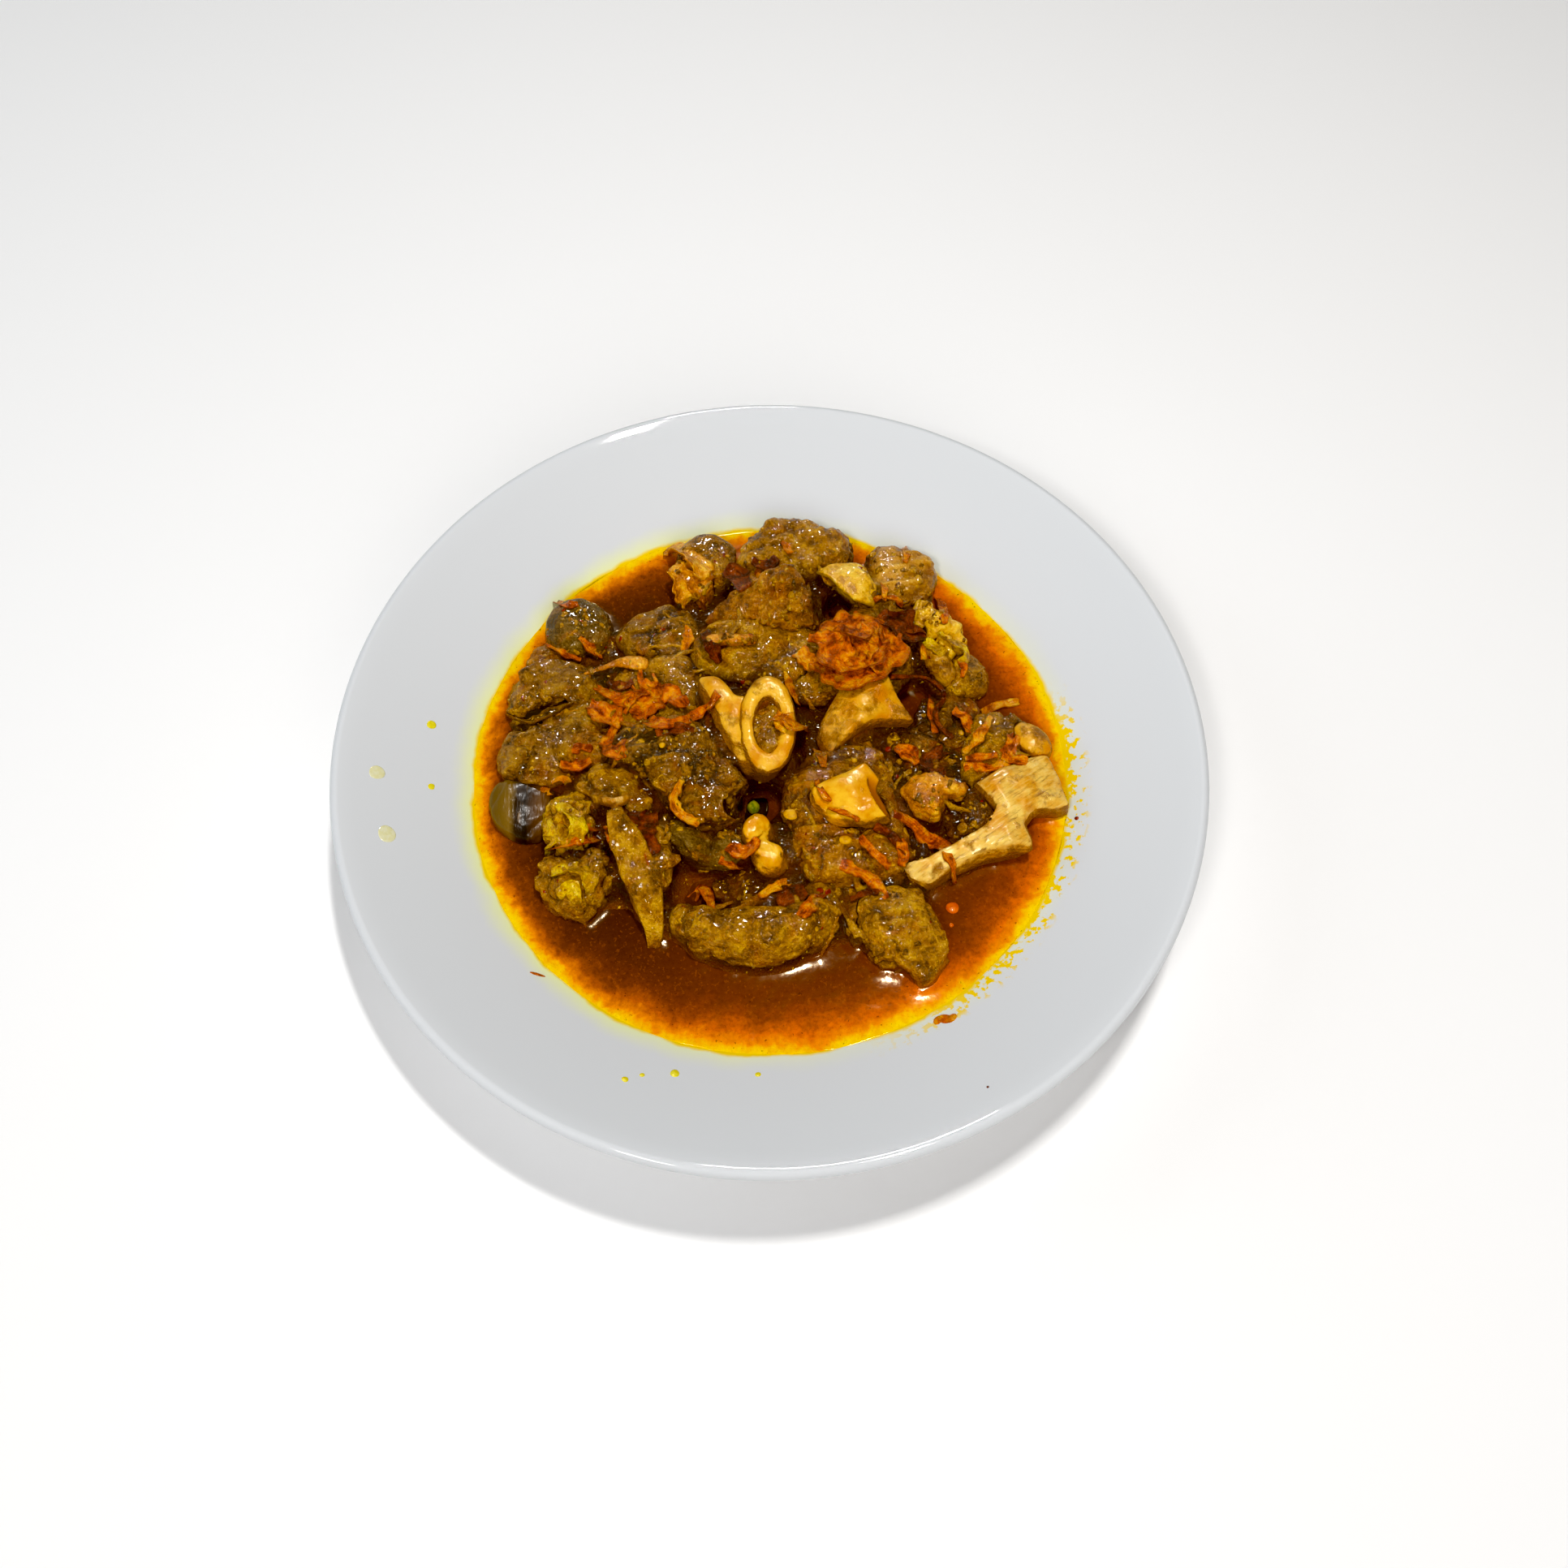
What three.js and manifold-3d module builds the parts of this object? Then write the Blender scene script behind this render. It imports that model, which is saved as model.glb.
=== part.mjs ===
// Bowl of mutton bhuna: a wide porcelain bowl with a low well, a pool of thin oily gravy in it, and a heap of
// meat on the bone, marrow bone, fat and crisp fried onion standing out of the gravy.
// Millimetres, +Z up. The origin is the middle of the foot ring, on the surface that the bowl stands on.

import * as THREE from 'three';
import { mergeVertices } from 'three/addons/utils/BufferGeometryUtils.js';
import Module from 'manifold-3d';

const wasm = await Module();
wasm.setup();

// Bowl
const RIM_RADIUS = 120;
const RIM_TOP = 36.8;
const WALL = 4.4;
const FLOOR_TOP = 6;
const WELL_ARC = 60;
const FLARE = THREE.MathUtils.degToRad(27);
const LIP_RADIUS = 1.8;
const FOOT_INNER = 44;
const FOOT_OUTER = 49;
const FOOT_HEIGHT = 2.4;
const FOOT_CHAMFER = 0.6;
const LIP_TURN = 0.9;
const BOWL_SIDES = 36;

// Gravy, and the gap left between pieces that touch
const GRAVY_TOP = 19.4;
const GAP = 0.3;
const BED_TOP = FLOOR_TOP + 6.5;
const BED_GAP = 0.8;
const BURIED = BED_TOP + BED_GAP - GRAVY_TOP;
const HEAP_CEILING = 70;
const SLIVER = 0.27;
const POOL_SLIVER = 0.45;
const FACET_SLACK = 0.1;
const CLEARANCE = 0.5;
const MOAT = 0.7;
const RELIEF_FADE = 4;
const LAID_STEP = 2.5;
const TAUTNESS = 8;
const KEEL_LATITUDE = -1.1;

// The point that the heap was measured from. Every [x, y, height] below is where a point is seen against the
// plane of the gravy, with its height above the gravy: placed() slides it back along that line of sight.
const EYE = new THREE.Vector3(4, -209, 409);

const COLOURS = {
  porcelain: { color: '#dcdedd', roughness: 0.12 },
  gravy: { color: '#7a3803', roughness: 0.1 },
  meat: { color: '#76500f', roughness: 0.42 },
  darkMeat: { color: '#5f4a1c', roughness: 0.4 },
  marrow: { color: '#6d4a18', roughness: 0.45 },
  bone: { color: '#cf9a2b', roughness: 0.38 },
  paleBone: { color: '#dcb35c', roughness: 0.4 },
  fat: { color: '#b8920f', roughness: 0.3 },
  tendon: { color: '#b57a1c', roughness: 0.35 },
  onion: { color: '#a8430e', roughness: 0.4 },
  darkOnion: { color: '#74240a', roughness: 0.35 },
  pepper: { color: '#4f5a12', roughness: 0.2 },
};

// Points and noise

function placed([x, y, height = 0]) {
  const seen = new THREE.Vector3(x, y, GRAVY_TOP);
  return seen.lerp(EYE, height / (EYE.z - GRAVY_TOP));
}

function seeded(seed) {
  let state = seed * 2654435761 % 4294967296;
  return () => {
    state = (state * 1664525 + 1013904223) % 4294967296;
    return state / 4294967296;
  };
}

function latticeValue(i, j, k, seed) {
  const mixed = Math.sin(i * 127.1 + j * 311.7 + k * 74.7 + seed * 53.3) * 43758.5453;
  return 2 * (mixed - Math.floor(mixed)) - 1;
}

function noise(point, grain, seed) {
  const cell = [point.x / grain, point.y / grain, point.z / grain];
  const corner = cell.map(Math.floor);
  const part = cell.map((value, axis) => {
    const along = value - corner[axis];
    return along * along * (3 - 2 * along);
  });
  let sum = 0;
  for (const di of [0, 1]) {
    for (const dj of [0, 1]) {
      for (const dk of [0, 1]) {
        const weight = [di, dj, dk].reduce(
          (product, step, axis) => product * (step ? part[axis] : 1 - part[axis]), 1,
        );
        sum += weight * latticeValue(corner[0] + di, corner[1] + dj, corner[2] + dk, seed);
      }
    }
  }
  return sum;
}

// Closed meshes as solids, and back

function toSolid(geometry) {
  const bare = geometry.clone();
  bare.deleteAttribute('normal');
  bare.deleteAttribute('uv');
  const welded = mergeVertices(bare, 1e-5);
  return new wasm.Manifold(new wasm.Mesh({
    numProp: 3,
    vertProperties: new Float32Array(welded.attributes.position.array),
    triVerts: new Uint32Array(welded.index.array),
  }));
}

function toGeometry(solid) {
  const mesh = solid.getMesh();
  const geometry = new THREE.BufferGeometry();
  geometry.setAttribute('position', new THREE.BufferAttribute(new Float32Array(mesh.vertProperties), 3));
  geometry.setIndex(new THREE.BufferAttribute(new Uint32Array(mesh.triVerts), 1));
  geometry.computeVertexNormals();
  return geometry;
}

function meshFrom(points, faces) {
  const geometry = new THREE.BufferGeometry().setFromPoints(points);
  geometry.setIndex(faces);
  return geometry;
}

function pushedOut(geometry, distance) {
  geometry.computeVertexNormals();
  const { position, normal } = geometry.attributes;
  for (let i = 0; i < position.count; i += 1) {
    const at = new THREE.Vector3().fromBufferAttribute(position, i);
    const out = new THREE.Vector3().fromBufferAttribute(normal, i);
    at.addScaledVector(out, distance(at));
    position.setXYZ(i, at.x, at.y, at.z);
  }
  return geometry;
}

function grown(solid, distance) {
  return toSolid(pushedOut(toGeometry(solid), () => distance));
}

function largest(solid) {
  const parts = solid.decompose();
  return parts.reduce((best, part) => (part.volume() > best.volume() ? part : best));
}

// Turned shapes: the bowl and what fills it

const LIP_CENTRE = new THREE.Vector2(RIM_RADIUS - LIP_RADIUS, RIM_TOP - LIP_RADIUS);

function lipPoint(angle) {
  return new THREE.Vector2(Math.cos(angle), Math.sin(angle)).multiplyScalar(LIP_RADIUS).add(LIP_CENTRE);
}

function wellRadius() {
  const flareTop = lipPoint(FLARE + Math.PI / 2);
  const arcTop = FLOOR_TOP + WELL_ARC * (1 - Math.cos(FLARE));
  const arcReach = WELL_ARC * Math.sin(FLARE);
  return flareTop.x - (flareTop.y - arcTop) / Math.tan(FLARE) - arcReach;
}

function wellProfile(offset, steps) {
  const start = wellRadius();
  const points = [];
  for (let i = 0; i <= steps; i += 1) {
    const angle = FLARE * i / steps;
    const radius = WELL_ARC + offset;
    points.push(new THREE.Vector2(
      start + radius * Math.sin(angle),
      FLOOR_TOP + WELL_ARC - radius * Math.cos(angle),
    ));
  }
  return points;
}

function turned(profile) {
  const geometry = new THREE.LatheGeometry(profile, BOWL_SIDES);
  geometry.rotateX(Math.PI / 2);
  return toSolid(geometry);
}

function bowlSolid() {
  const lip = [FLARE + Math.PI / 2, LIP_TURN, 0, -LIP_TURN].map(lipPoint);
  const inside = wellProfile(0, 3);
  const outside = wellProfile(WALL, 2).reverse();
  const footTop = Math.min(FLOOR_TOP - WALL, FOOT_HEIGHT) + FOOT_CHAMFER;
  const section = [
    new THREE.Vector2(0, FLOOR_TOP),
    ...inside,
    ...lip,
    ...outside.slice(0, 2),
    new THREE.Vector2(FOOT_OUTER, footTop),
    new THREE.Vector2(FOOT_OUTER - FOOT_CHAMFER, 0),
    new THREE.Vector2(FOOT_INNER + FOOT_CHAMFER, 0),
    new THREE.Vector2(FOOT_INNER, footTop),
    new THREE.Vector2(0, footTop),
  ];
  return turned(section.reverse());
}

function filling(top) {
  const slack = GAP + FACET_SLACK;
  const rise = wellProfile(-slack, 3);
  const last = rise[rise.length - 1];
  const surfaceRadius = last.x + (top - last.y) / Math.tan(FLARE);
  return turned([
    new THREE.Vector2(0, FLOOR_TOP + slack),
    ...rise,
    new THREE.Vector2(surfaceRadius, top),
    new THREE.Vector2(0, top),
  ]);
}

// A lump of meat, bone or fat. Its widest line runs through the rim points, its upper side through the tops,
// and its under side reaches down to low, a height above the gravy.

const LARGE = { around: 14, tiers: 3 };
const shores = [];

function standing(shape) {
  const prism = new THREE.ExtrudeGeometry(shape, { depth: GRAVY_TOP, bevelEnabled: false });
  return toSolid(prism.translate(0, 0, BED_TOP));
}

function prismRound(edge, middle, moat, keelShare) {
  const outline = edge.slice(0, -1).map((at) => {
    const out = at.clone().sub(middle).setZ(0);
    const reach = out.length() * keelShare(at.z) + moat;
    return new THREE.Vector2(middle.x, middle.y).addScaledVector(out.normalize(), reach);
  });
  const shape = new THREE.Shape(outline.filter((_, i) => i % 2 === 0));
  return standing(shape);
}

function lump({
  rim, tops, low = BURIED, around = 12, tiers = 3, square = 2.9, crisp = false,
  relief = 0.6, grain = 6, seed = 1,
}) {
  const corners = rim.map(placed);
  if (THREE.ShapeUtils.isClockWise(corners)) corners.reverse();
  const sides = crisp ? 2 * rim.length : around;
  const edge = crisp
    ? new THREE.CatmullRomCurve3(corners, true, 'catmullrom', 0).getPoints(2 * sides)
    : new THREE.CatmullRomCurve3(corners, true, 'centripetal').getSpacedPoints(2 * sides);
  const middle = corners.reduce((sum, at) => sum.add(at), new THREE.Vector3()).divideScalar(corners.length);
  const crests = tops.map(placed);
  const topAt = (x, y) => {
    let weights = 0;
    let sum = 0;
    for (const crest of crests) {
      const weight = 1 / ((crest.x - x) ** 2 + (crest.y - y) ** 2 + 4);
      weights += weight;
      sum += weight * crest.z;
    }
    return sum / weights;
  };
  const bottom = GRAVY_TOP + low;
  const latitudes = [KEEL_LATITUDE];
  for (let i = 0; i < tiers; i += 1) latitudes.push(Math.PI / 2 * i / tiers);
  const points = [new THREE.Vector3(middle.x, middle.y, bottom)];
  latitudes.forEach((latitude, ring) => {
    const across = Math.cos(latitude) ** (2 / square);
    const rise = Math.abs(Math.sin(latitude)) ** (2 / square);
    for (let k = 0; k < sides; k += 1) {
      const at = middle.clone().lerp(edge[2 * k + ring % 2], across);
      const target = latitude < 0 ? bottom : topAt(at.x, at.y);
      at.z += (target - at.z) * rise;
      points.push(at);
    }
  });
  points.push(new THREE.Vector3(middle.x, middle.y, topAt(middle.x, middle.y)));
  const last = points.length - 1;
  const faces = [];
  for (let k = 0; k < sides; k += 1) {
    const next = (k + 1) % sides;
    faces.push(0, 1 + next, 1 + k);
    for (let ring = 0; ring < tiers; ring += 1) {
      const below = 1 + ring * sides;
      const above = below + sides;
      if (ring % 2) faces.push(below + k, below + next, above + next, below + k, above + next, above + k);
      else faces.push(below + k, below + next, above + k, below + next, above + next, above + k);
    }
    faces.push(last, last - sides + k, last - sides + next);
  }
  if (low < 0) {
    const keel = new THREE.Vector2(Math.cos(KEEL_LATITUDE), Math.sin(-KEEL_LATITUDE));
    const [keelWidth, keelDrop] = [keel.x ** (2 / square), keel.y ** (2 / square)];
    const sunk = (z) => Math.max(z - GRAVY_TOP, 0) / ((z - bottom) * keelDrop);
    shores.push(prismRound(edge, middle, MOAT, (z) => 1 - (1 - keelWidth) * sunk(z)));
  }
  const dry = (at) => THREE.MathUtils.smoothstep(at.z, GRAVY_TOP, GRAVY_TOP + RELIEF_FADE);
  return toSolid(pushedOut(meshFrom(points, faces), (at) => dry(at) * relief * noise(at, grain, seed)));
}

// A bar of oval section along a spine: limbs of bone, strips, sticks and curls

function spread(values, share) {
  const list = Array.isArray(values) ? values : [values];
  const place = share * (list.length - 1);
  const first = Math.min(Math.floor(place), Math.max(list.length - 2, 0));
  const next = Math.min(first + 1, list.length - 1);
  return THREE.MathUtils.lerp(list[first], list[next], place - first);
}

function frameAt(curve, share, roll = 0) {
  const at = curve.getPoint(share);
  const along = curve.getTangent(share);
  const side = new THREE.Vector3().crossVectors(along, new THREE.Vector3(0, 0, 1)).normalize();
  side.applyAxisAngle(along, roll);
  const up = new THREE.Vector3().crossVectors(side, along).normalize();
  return { at, side, up };
}

function bar({ spine, width, height, steps = 8, sides = 8, blunt = 5, relief = 0, grain = 4, seed = 1 }) {
  const curve = new THREE.CatmullRomCurve3(spine, false, 'centripetal');
  const points = [curve.getPoint(0)];
  for (let j = 1; j < steps; j += 1) {
    const share = 0.5 - 0.5 * Math.cos(Math.PI * j / steps);
    const { at, side, up } = frameAt(curve, share);
    const fullness = Math.sqrt(1 - Math.abs(2 * share - 1) ** blunt);
    const halfWidth = fullness * spread(width, share) / 2;
    const halfHeight = fullness * spread(height, share) / 2;
    for (let k = 0; k < sides; k += 1) {
      const angle = 2 * Math.PI * (k + 0.5) / sides;
      points.push(at.clone()
        .addScaledVector(side, halfWidth * Math.cos(angle))
        .addScaledVector(up, halfHeight * Math.sin(angle)));
    }
  }
  points.push(curve.getPoint(1));
  const last = points.length - 1;
  const faces = [];
  for (let k = 0; k < sides; k += 1) {
    const next = (k + 1) % sides;
    faces.push(0, 1 + k, 1 + next);
    for (let j = 0; j + 2 < steps; j += 1) {
      const a = 1 + j * sides + k;
      const b = 1 + j * sides + next;
      faces.push(a, b + sides, b, a, a + sides, b + sides);
    }
    faces.push(last, last - sides + next, last - sides + k);
  }
  const solid = toSolid(pushedOut(meshFrom(points, faces), (at) => relief * noise(at, grain, seed)));
  if (spine.some((at) => at.z < GRAVY_TOP + RELIEF_FADE)) shores.push(grown(solid, MOAT));
  return solid;
}

// A thin wavy ribbon: flakes and shreds of fried onion. Both faces are split alike.

function ribbon({
  spine, width, thickness = 1.2, cup = 0, wave = 0.4, roll = 0, rows = 8, columns = 1, seed = 1,
}) {
  const curve = new THREE.CatmullRomCurve3(spine, false, 'centripetal');
  const draw = seeded(seed);
  const phase = 2 * Math.PI * draw();
  const ripples = 2 + 2 * draw();
  const points = [];
  for (const face of [1, -1]) {
    for (let j = 0; j <= rows; j += 1) {
      const share = j / rows;
      const { at, side, up } = frameAt(curve, share, spread(roll, share));
      const half = spread(width, share) / 2;
      for (let k = 0; k <= columns; k += 1) {
        const across = 2 * k / columns - 1;
        const ripple = wave * Math.sin(phase + ripples * Math.PI * share + across * 1.7);
        const lift = cup * across * across * half + ripple + face * thickness / 2;
        points.push(at.clone().addScaledVector(side, half * across).addScaledVector(up, lift));
      }
    }
  }
  const wide = columns + 1;
  const under = wide * (rows + 1);
  const faces = [];
  for (let j = 0; j < rows; j += 1) {
    for (let k = 0; k < columns; k += 1) {
      const a = j * wide + k;
      faces.push(a, a + 1, a + 1 + wide, a, a + 1 + wide, a + wide);
      const c = under + a;
      faces.push(c, c + 1 + wide, c + 1, c, c + wide, c + 1 + wide);
    }
  }
  const border = [];
  for (let k = 0; k < columns; k += 1) border.push(k);
  for (let j = 0; j < rows; j += 1) border.push(j * wide + columns);
  for (let k = columns; k > 0; k -= 1) border.push(rows * wide + k);
  for (let j = rows; j > 0; j -= 1) border.push(j * wide);
  border.forEach((a, index) => {
    const b = border[(index + 1) % border.length];
    faces.push(a, under + a, under + b, a, under + b, b);
  });
  return toSolid(meshFrom(points, faces));
}

// A hollow shaft of bone, cut across: a band between an inner and an outer oval, rounded at the cut

function shaft({ inner, outer, axis, depth, count = 16 }) {
  const section = [[0, 1], [0, 0.1], [0.2, 0.01], [0.8, 0.01], [1, 0.1], [1, 0.5], [0.9, 1]];
  const points = [];
  for (const [across, along] of section) {
    for (let k = 0; k < count; k += 1) {
      const angle = 2 * Math.PI * k / count;
      const at = inner(angle).lerp(outer(angle), across);
      points.push(at.addScaledVector(axis, depth * along));
    }
  }
  const faces = [];
  section.forEach((_, j) => {
    const here = j * count;
    const beyond = ((j + 1) % section.length) * count;
    for (let k = 0; k < count; k += 1) {
      const next = (k + 1) % count;
      faces.push(here + k, beyond + k, beyond + next, here + k, beyond + next, here + next);
    }
  });
  return toSolid(meshFrom(points, faces));
}

// Under the close-packed middle of the heap, of this outline in plan, the gravy is a bed for the pieces
const HEAP_CORE = [
  [-57, 46], [-34, 42], [-23, 56], [-18, 70], [8, 74], [38, 62], [48, 46], [57, 28], [66, 8], [66, -18],
  [38, -32], [36, -50], [14, -46], [-4, -50], [-26, -44], [-33, -42], [-46, -30], [-53, -37], [-68, -14],
  [-64, 2], [-62, 24],
];

// The ring of marrow bone in the middle of the heap, and the marrow in it

const RING = {
  middle: [-0.6, 15],
  hole: [4.4, 9.2],
  marrow: [3.8, 8.6],
  outside: [8, 16.4],
  axis: new THREE.Vector3(-0.12, 0.3, -1).normalize(),
  depth: 15,
  faceAt: (y) => 17 + 0.24 * y,
};

function ringOval([halfWidth, halfLength]) {
  return (angle) => {
    const x = RING.middle[0] + halfWidth * Math.cos(angle);
    const y = RING.middle[1] + halfLength * Math.sin(angle);
    return placed([x, y, RING.faceAt(y)]);
  };
}

const PLUG_PROUD = 0.15;

function plugOf(oval, axis, depth, count = 16) {
  const points = [];
  for (const along of [-PLUG_PROUD, 1 + PLUG_PROUD]) {
    for (let k = 0; k < count; k += 1) {
      points.push(oval(2 * Math.PI * k / count).addScaledVector(axis, depth * along));
    }
  }
  for (const start of [0, count]) {
    points.push(points[start].clone().add(points[start + count / 2]).divideScalar(2));
  }
  const faces = [];
  for (let k = 0; k < count; k += 1) {
    const next = (k + 1) % count;
    faces.push(2 * count, k, next, 2 * count + 1, count + next, count + k);
    faces.push(k, count + k, count + next, k, count + next, next);
  }
  return toSolid(meshFrom(points, faces));
}

// The heap. Pieces of a lower rank keep their shape, and those of a higher rank are cut to fit round them.

const BONE = 0;
const SOFT = 1;
const MEAT = 2;
const ONION = 3;
const heap = [];

function add(rank, name, colour, solid) {
  heap.push({ rank, name, colour, solid });
}

function addBones() {
  const ring = shaft({
    inner: ringOval(RING.hole), outer: ringOval(RING.outside), axis: RING.axis, depth: RING.depth,
  });
  const wing = lump({
    rim: [[-17, 31, 19], [-13, 28, 20], [-9, 23.5, 20], [-3, 23, 19], [2, 14, 17], [0, 0, 13], [-6, -2, 12],
      [-12, 3, 9], [-17, 13, 9], [-21, 24, 12], [-21.5, 29, 15]],
    tops: [[-16, 27, 21.5], [-11, 18, 20], [-9, 8, 18]],
    relief: 0.2,
    ...LARGE,
  });
  const hole = plugOf(ringOval(RING.hole), RING.axis, RING.depth);
  const marrow = lump({
    rim: [[5, 15, 18], [3, 26, 20], [-1, 29, 21], [-5, 26, 20], [-7, 15, 18], [-5, 4, 16], [-1, 1, 15],
      [3, 4, 16]],
    tops: [[-1, 20, 20], [-1, 10, 18]],
    low: 2,
    around: 8,
    tiers: 2,
    relief: 0.3,
    seed: 4,
  });
  add(BONE, 'bone_marrow_ring', 'bone', ring.add(wing.subtract(hole)));
  const core = plugOf(ringOval(RING.marrow), RING.axis, RING.depth);
  add(BONE, 'marrow', 'marrow', marrow.intersect(core));

  add(BONE, 'bone_spurred', 'bone', lump({
    rim: [[32, 35, 15], [35, 31, 15], [38, 23, 14], [42, 15, 11], [34, 15.5, 12], [29, 15, 12],
      [22, 10, 11], [16, 3, 8], [13, 9, 9], [15, 17, 12], [19, 25, 14], [24, 31, 15]],
    tops: [[31, 30, 18], [27, 20, 16], [17, 10, 12], [37, 19, 14]],
    low: -4,
    square: 3.2,
    relief: 0.35,
    ...LARGE,
    crisp: true,
  }));

  const stub = lump({
    rim: [[11, -7, 13], [19, -2, 15], [27, 2, 16], [31, -3, 16], [35, -14, 13], [33, -17, 11],
      [26, -19, 11], [17, -18, 11], [12, -13, 11]],
    tops: [[16, -9, 17], [24, -6, 19], [30, -10, 17]],
    low: 4,
    square: 3.4,
    relief: 0.25,
    crisp: true,
  });
  const stubHollow = lump({
    rim: [[30, -3, 16], [32, -8, 16], [35, -14, 15], [39, -8, 15], [35, 0, 15]],
    tops: [[34, -7, 17]],
    low: 11,
    relief: 0,
    around: 8,
    tiers: 2,
  });
  add(BONE, 'bone_stub', 'paleBone', stub.subtract(stubHollow));

  const upperKnob = lump({
    rim: [[1, -20, 10], [-3, -15.5, 11], [-8, -19, 10], [-7.5, -24, 9], [-3, -25, 9]],
    tops: [[-4, -20, 15]],
    relief: 0.15,
  });
  const lowerKnob = lump({
    rim: [[5, -27, 9], [-1, -22, 11], [-5, -26, 10], [-3, -31, 7], [3, -32, 7]],
    tops: [[0, -27, 14]],
    relief: 0.15,
  });
  add(BONE, 'bone_knuckle', 'paleBone', upperKnob.add(lowerKnob));

  const forkArm = lump({
    rim: [[35, -31, 5], [44, -27.5, 7], [53, -22, 8], [62, -16, 9], [66, -7, 9], [70, -8, 9], [73, -25, 6],
      [69, -26, 4], [60, -28, 4], [50, -33, 3], [43, -37.5, 2], [38, -36, 3]],
    tops: [[42, -33, 7], [55, -26, 9], [68, -18, 11]],
    square: 3.2,
    relief: 0.2,
    crisp: true,
  });
  const forkHead = lump({
    rim: [[57, -5, 7], [62, -2, 8], [67, 1, 8], [74, 4, 7], [79, 4, 5], [82, -4, 3], [84, -14, 1],
      [80, -15, 2], [74, -14, 5], [70, -20, 7], [65, -16, 8], [61, -9, 8]],
    tops: [[68, -5, 11], [78, -4, 8]],
    square: 3.2,
    relief: 0.2,
    crisp: true,
  });
  add(BONE, 'bone_forked', 'paleBone', forkArm.add(forkHead));

  const ribShaft = bar({
    spine: [[-44, -10, 16], [-41.5, -19, 14], [-38.5, -29, 10], [-34.5, -40, 5], [-29.5, -53, 0]].map(placed),
    width: [3.5, 4, 5.5, 7, 6],
    height: [4, 4, 5, 6, 6],
    steps: 10,
    relief: 0.2,
  });
  const ribHead = bar({
    spine: [[-48, -9.5, 15], [-44, -10.5, 16.5], [-40, -9, 15]].map(placed), width: 3, height: 4, steps: 6,
  });
  add(BONE, 'bone_rib', 'bone', ribShaft.add(ribHead));

  add(BONE, 'bone_tip', 'bone', lump({
    rim: [[70, 14, 5], [74, 14.5, 5], [79, 9, 4], [80, 4, 4], [75, 4, 6], [71, 8, 7]],
    tops: [[75, 9, 9]],
    relief: 0.2,
  }));
}

function addFat() {
  add(SOFT, 'skin_flap', 'tendon', lump({
    rim: [[-24.5, 77, 8], [-31, 68, 6], [-30, 65, 5], [-24, 57, 2], [-19.5, 51, 0], [-17, 60, 4],
      [-17, 70, 8]],
    tops: [[-22, 66, 9]],
    square: 3,
    crisp: true,
  }));
  add(SOFT, 'fat_slab', 'fat', lump({
    rim: [[14, 69, 13], [20, 72, 15], [27, 71.5, 15], [32, 62, 12], [31, 57, 10], [26, 57, 10],
      [19, 63, 11]],
    tops: [[23, 65, 15]],
    low: 5,
    square: 3.2,
    crisp: true,
    relief: 0.3,
  }));
  add(SOFT, 'fat_knotted', 'fat', lump({
    rim: [[41, 53, 5], [46, 58, 7], [51, 52, 8], [55, 47, 6], [58, 40, 5], [53, 35, 5], [48, 41, 6],
      [44, 46, 6]],
    tops: [[48, 51, 12], [53, 43, 9]],
    relief: 1.3,
    grain: 4,
    seed: 7,
    ...LARGE,
  }));
  add(SOFT, 'fat_ruffled', 'fat', lump({
    rim: [[-60, -10, 5], [-54, -7, 8], [-49, -12, 9], [-50, -22, 8], [-56, -28, 5], [-61, -26, 3],
      [-62, -15, 3]],
    tops: [[-55, -15, 12]],
    relief: 1.4,
    grain: 4,
    seed: 8,
    ...LARGE,
  }));
  add(SOFT, 'fat_curled', 'fat', lump({
    rim: [[-62, -30, 3], [-56, -26, 6], [-48, -25, 7], [-43, -32, 4], [-44, -42, 1], [-52, -47, 0],
      [-60, -43, 0], [-63, -36, 1]],
    tops: [[-54, -35, 9]],
    relief: 1.3,
    grain: 5,
    seed: 9,
    ...LARGE,
  }));
  add(SOFT, 'gristle', 'tendon', lump({
    rim: [[36, -8, 9], [40, -3, 11], [49, -1, 12], [51, -4, 11], [56, -5, 10], [55, -8.5, 10],
      [50, -10, 10], [46, -17, 8], [40, -14, 8]],
    tops: [[45, -8, 15]],
    low: 2,
    square: 3,
    crisp: true,
    relief: 0.5,
    grain: 4,
  }));
  add(SOFT, 'tendon_strip', 'tendon', bar({
    spine: [[-19.5, 43.5, 16], [-12, 44, 17], [-4, 44, 16.5]].map(placed),
    width: 3.4,
    height: 3,
    blunt: 8,
    relief: 0.3,
  }));
  add(SOFT, 'tendon_leaf', 'tendon', bar({
    spine: [[-57, 31, 8], [-52, 33, 9], [-46, 35.5, 10], [-41, 36, 10], [-35.5, 35, 10]].map(placed),
    width: [1.5, 2, 3, 5, 6],
    height: [1.5, 2, 2.5, 3],
    relief: 0.4,
  }));
  add(SOFT, 'skin_band', 'darkMeat', bar({
    spine: [[45, 43, 6], [49, 36, 7], [53, 28, 6]].map(placed),
    width: [6, 8, 6],
    height: [8, 10, 8],
    relief: 0.3,
  }));
  add(SOFT, 'peppercorn', 'pepper', lump({
    rim: [[-2.4, -12, 1], [-4.6, -9.6, 1], [-6.8, -12, 1], [-4.6, -14.4, 1]],
    tops: [[-4.6, -12, 3.2]],
    low: -1.2,
    square: 2,
    relief: 0.1,
    around: 8,
    tiers: 2,
  }));
}

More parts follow.
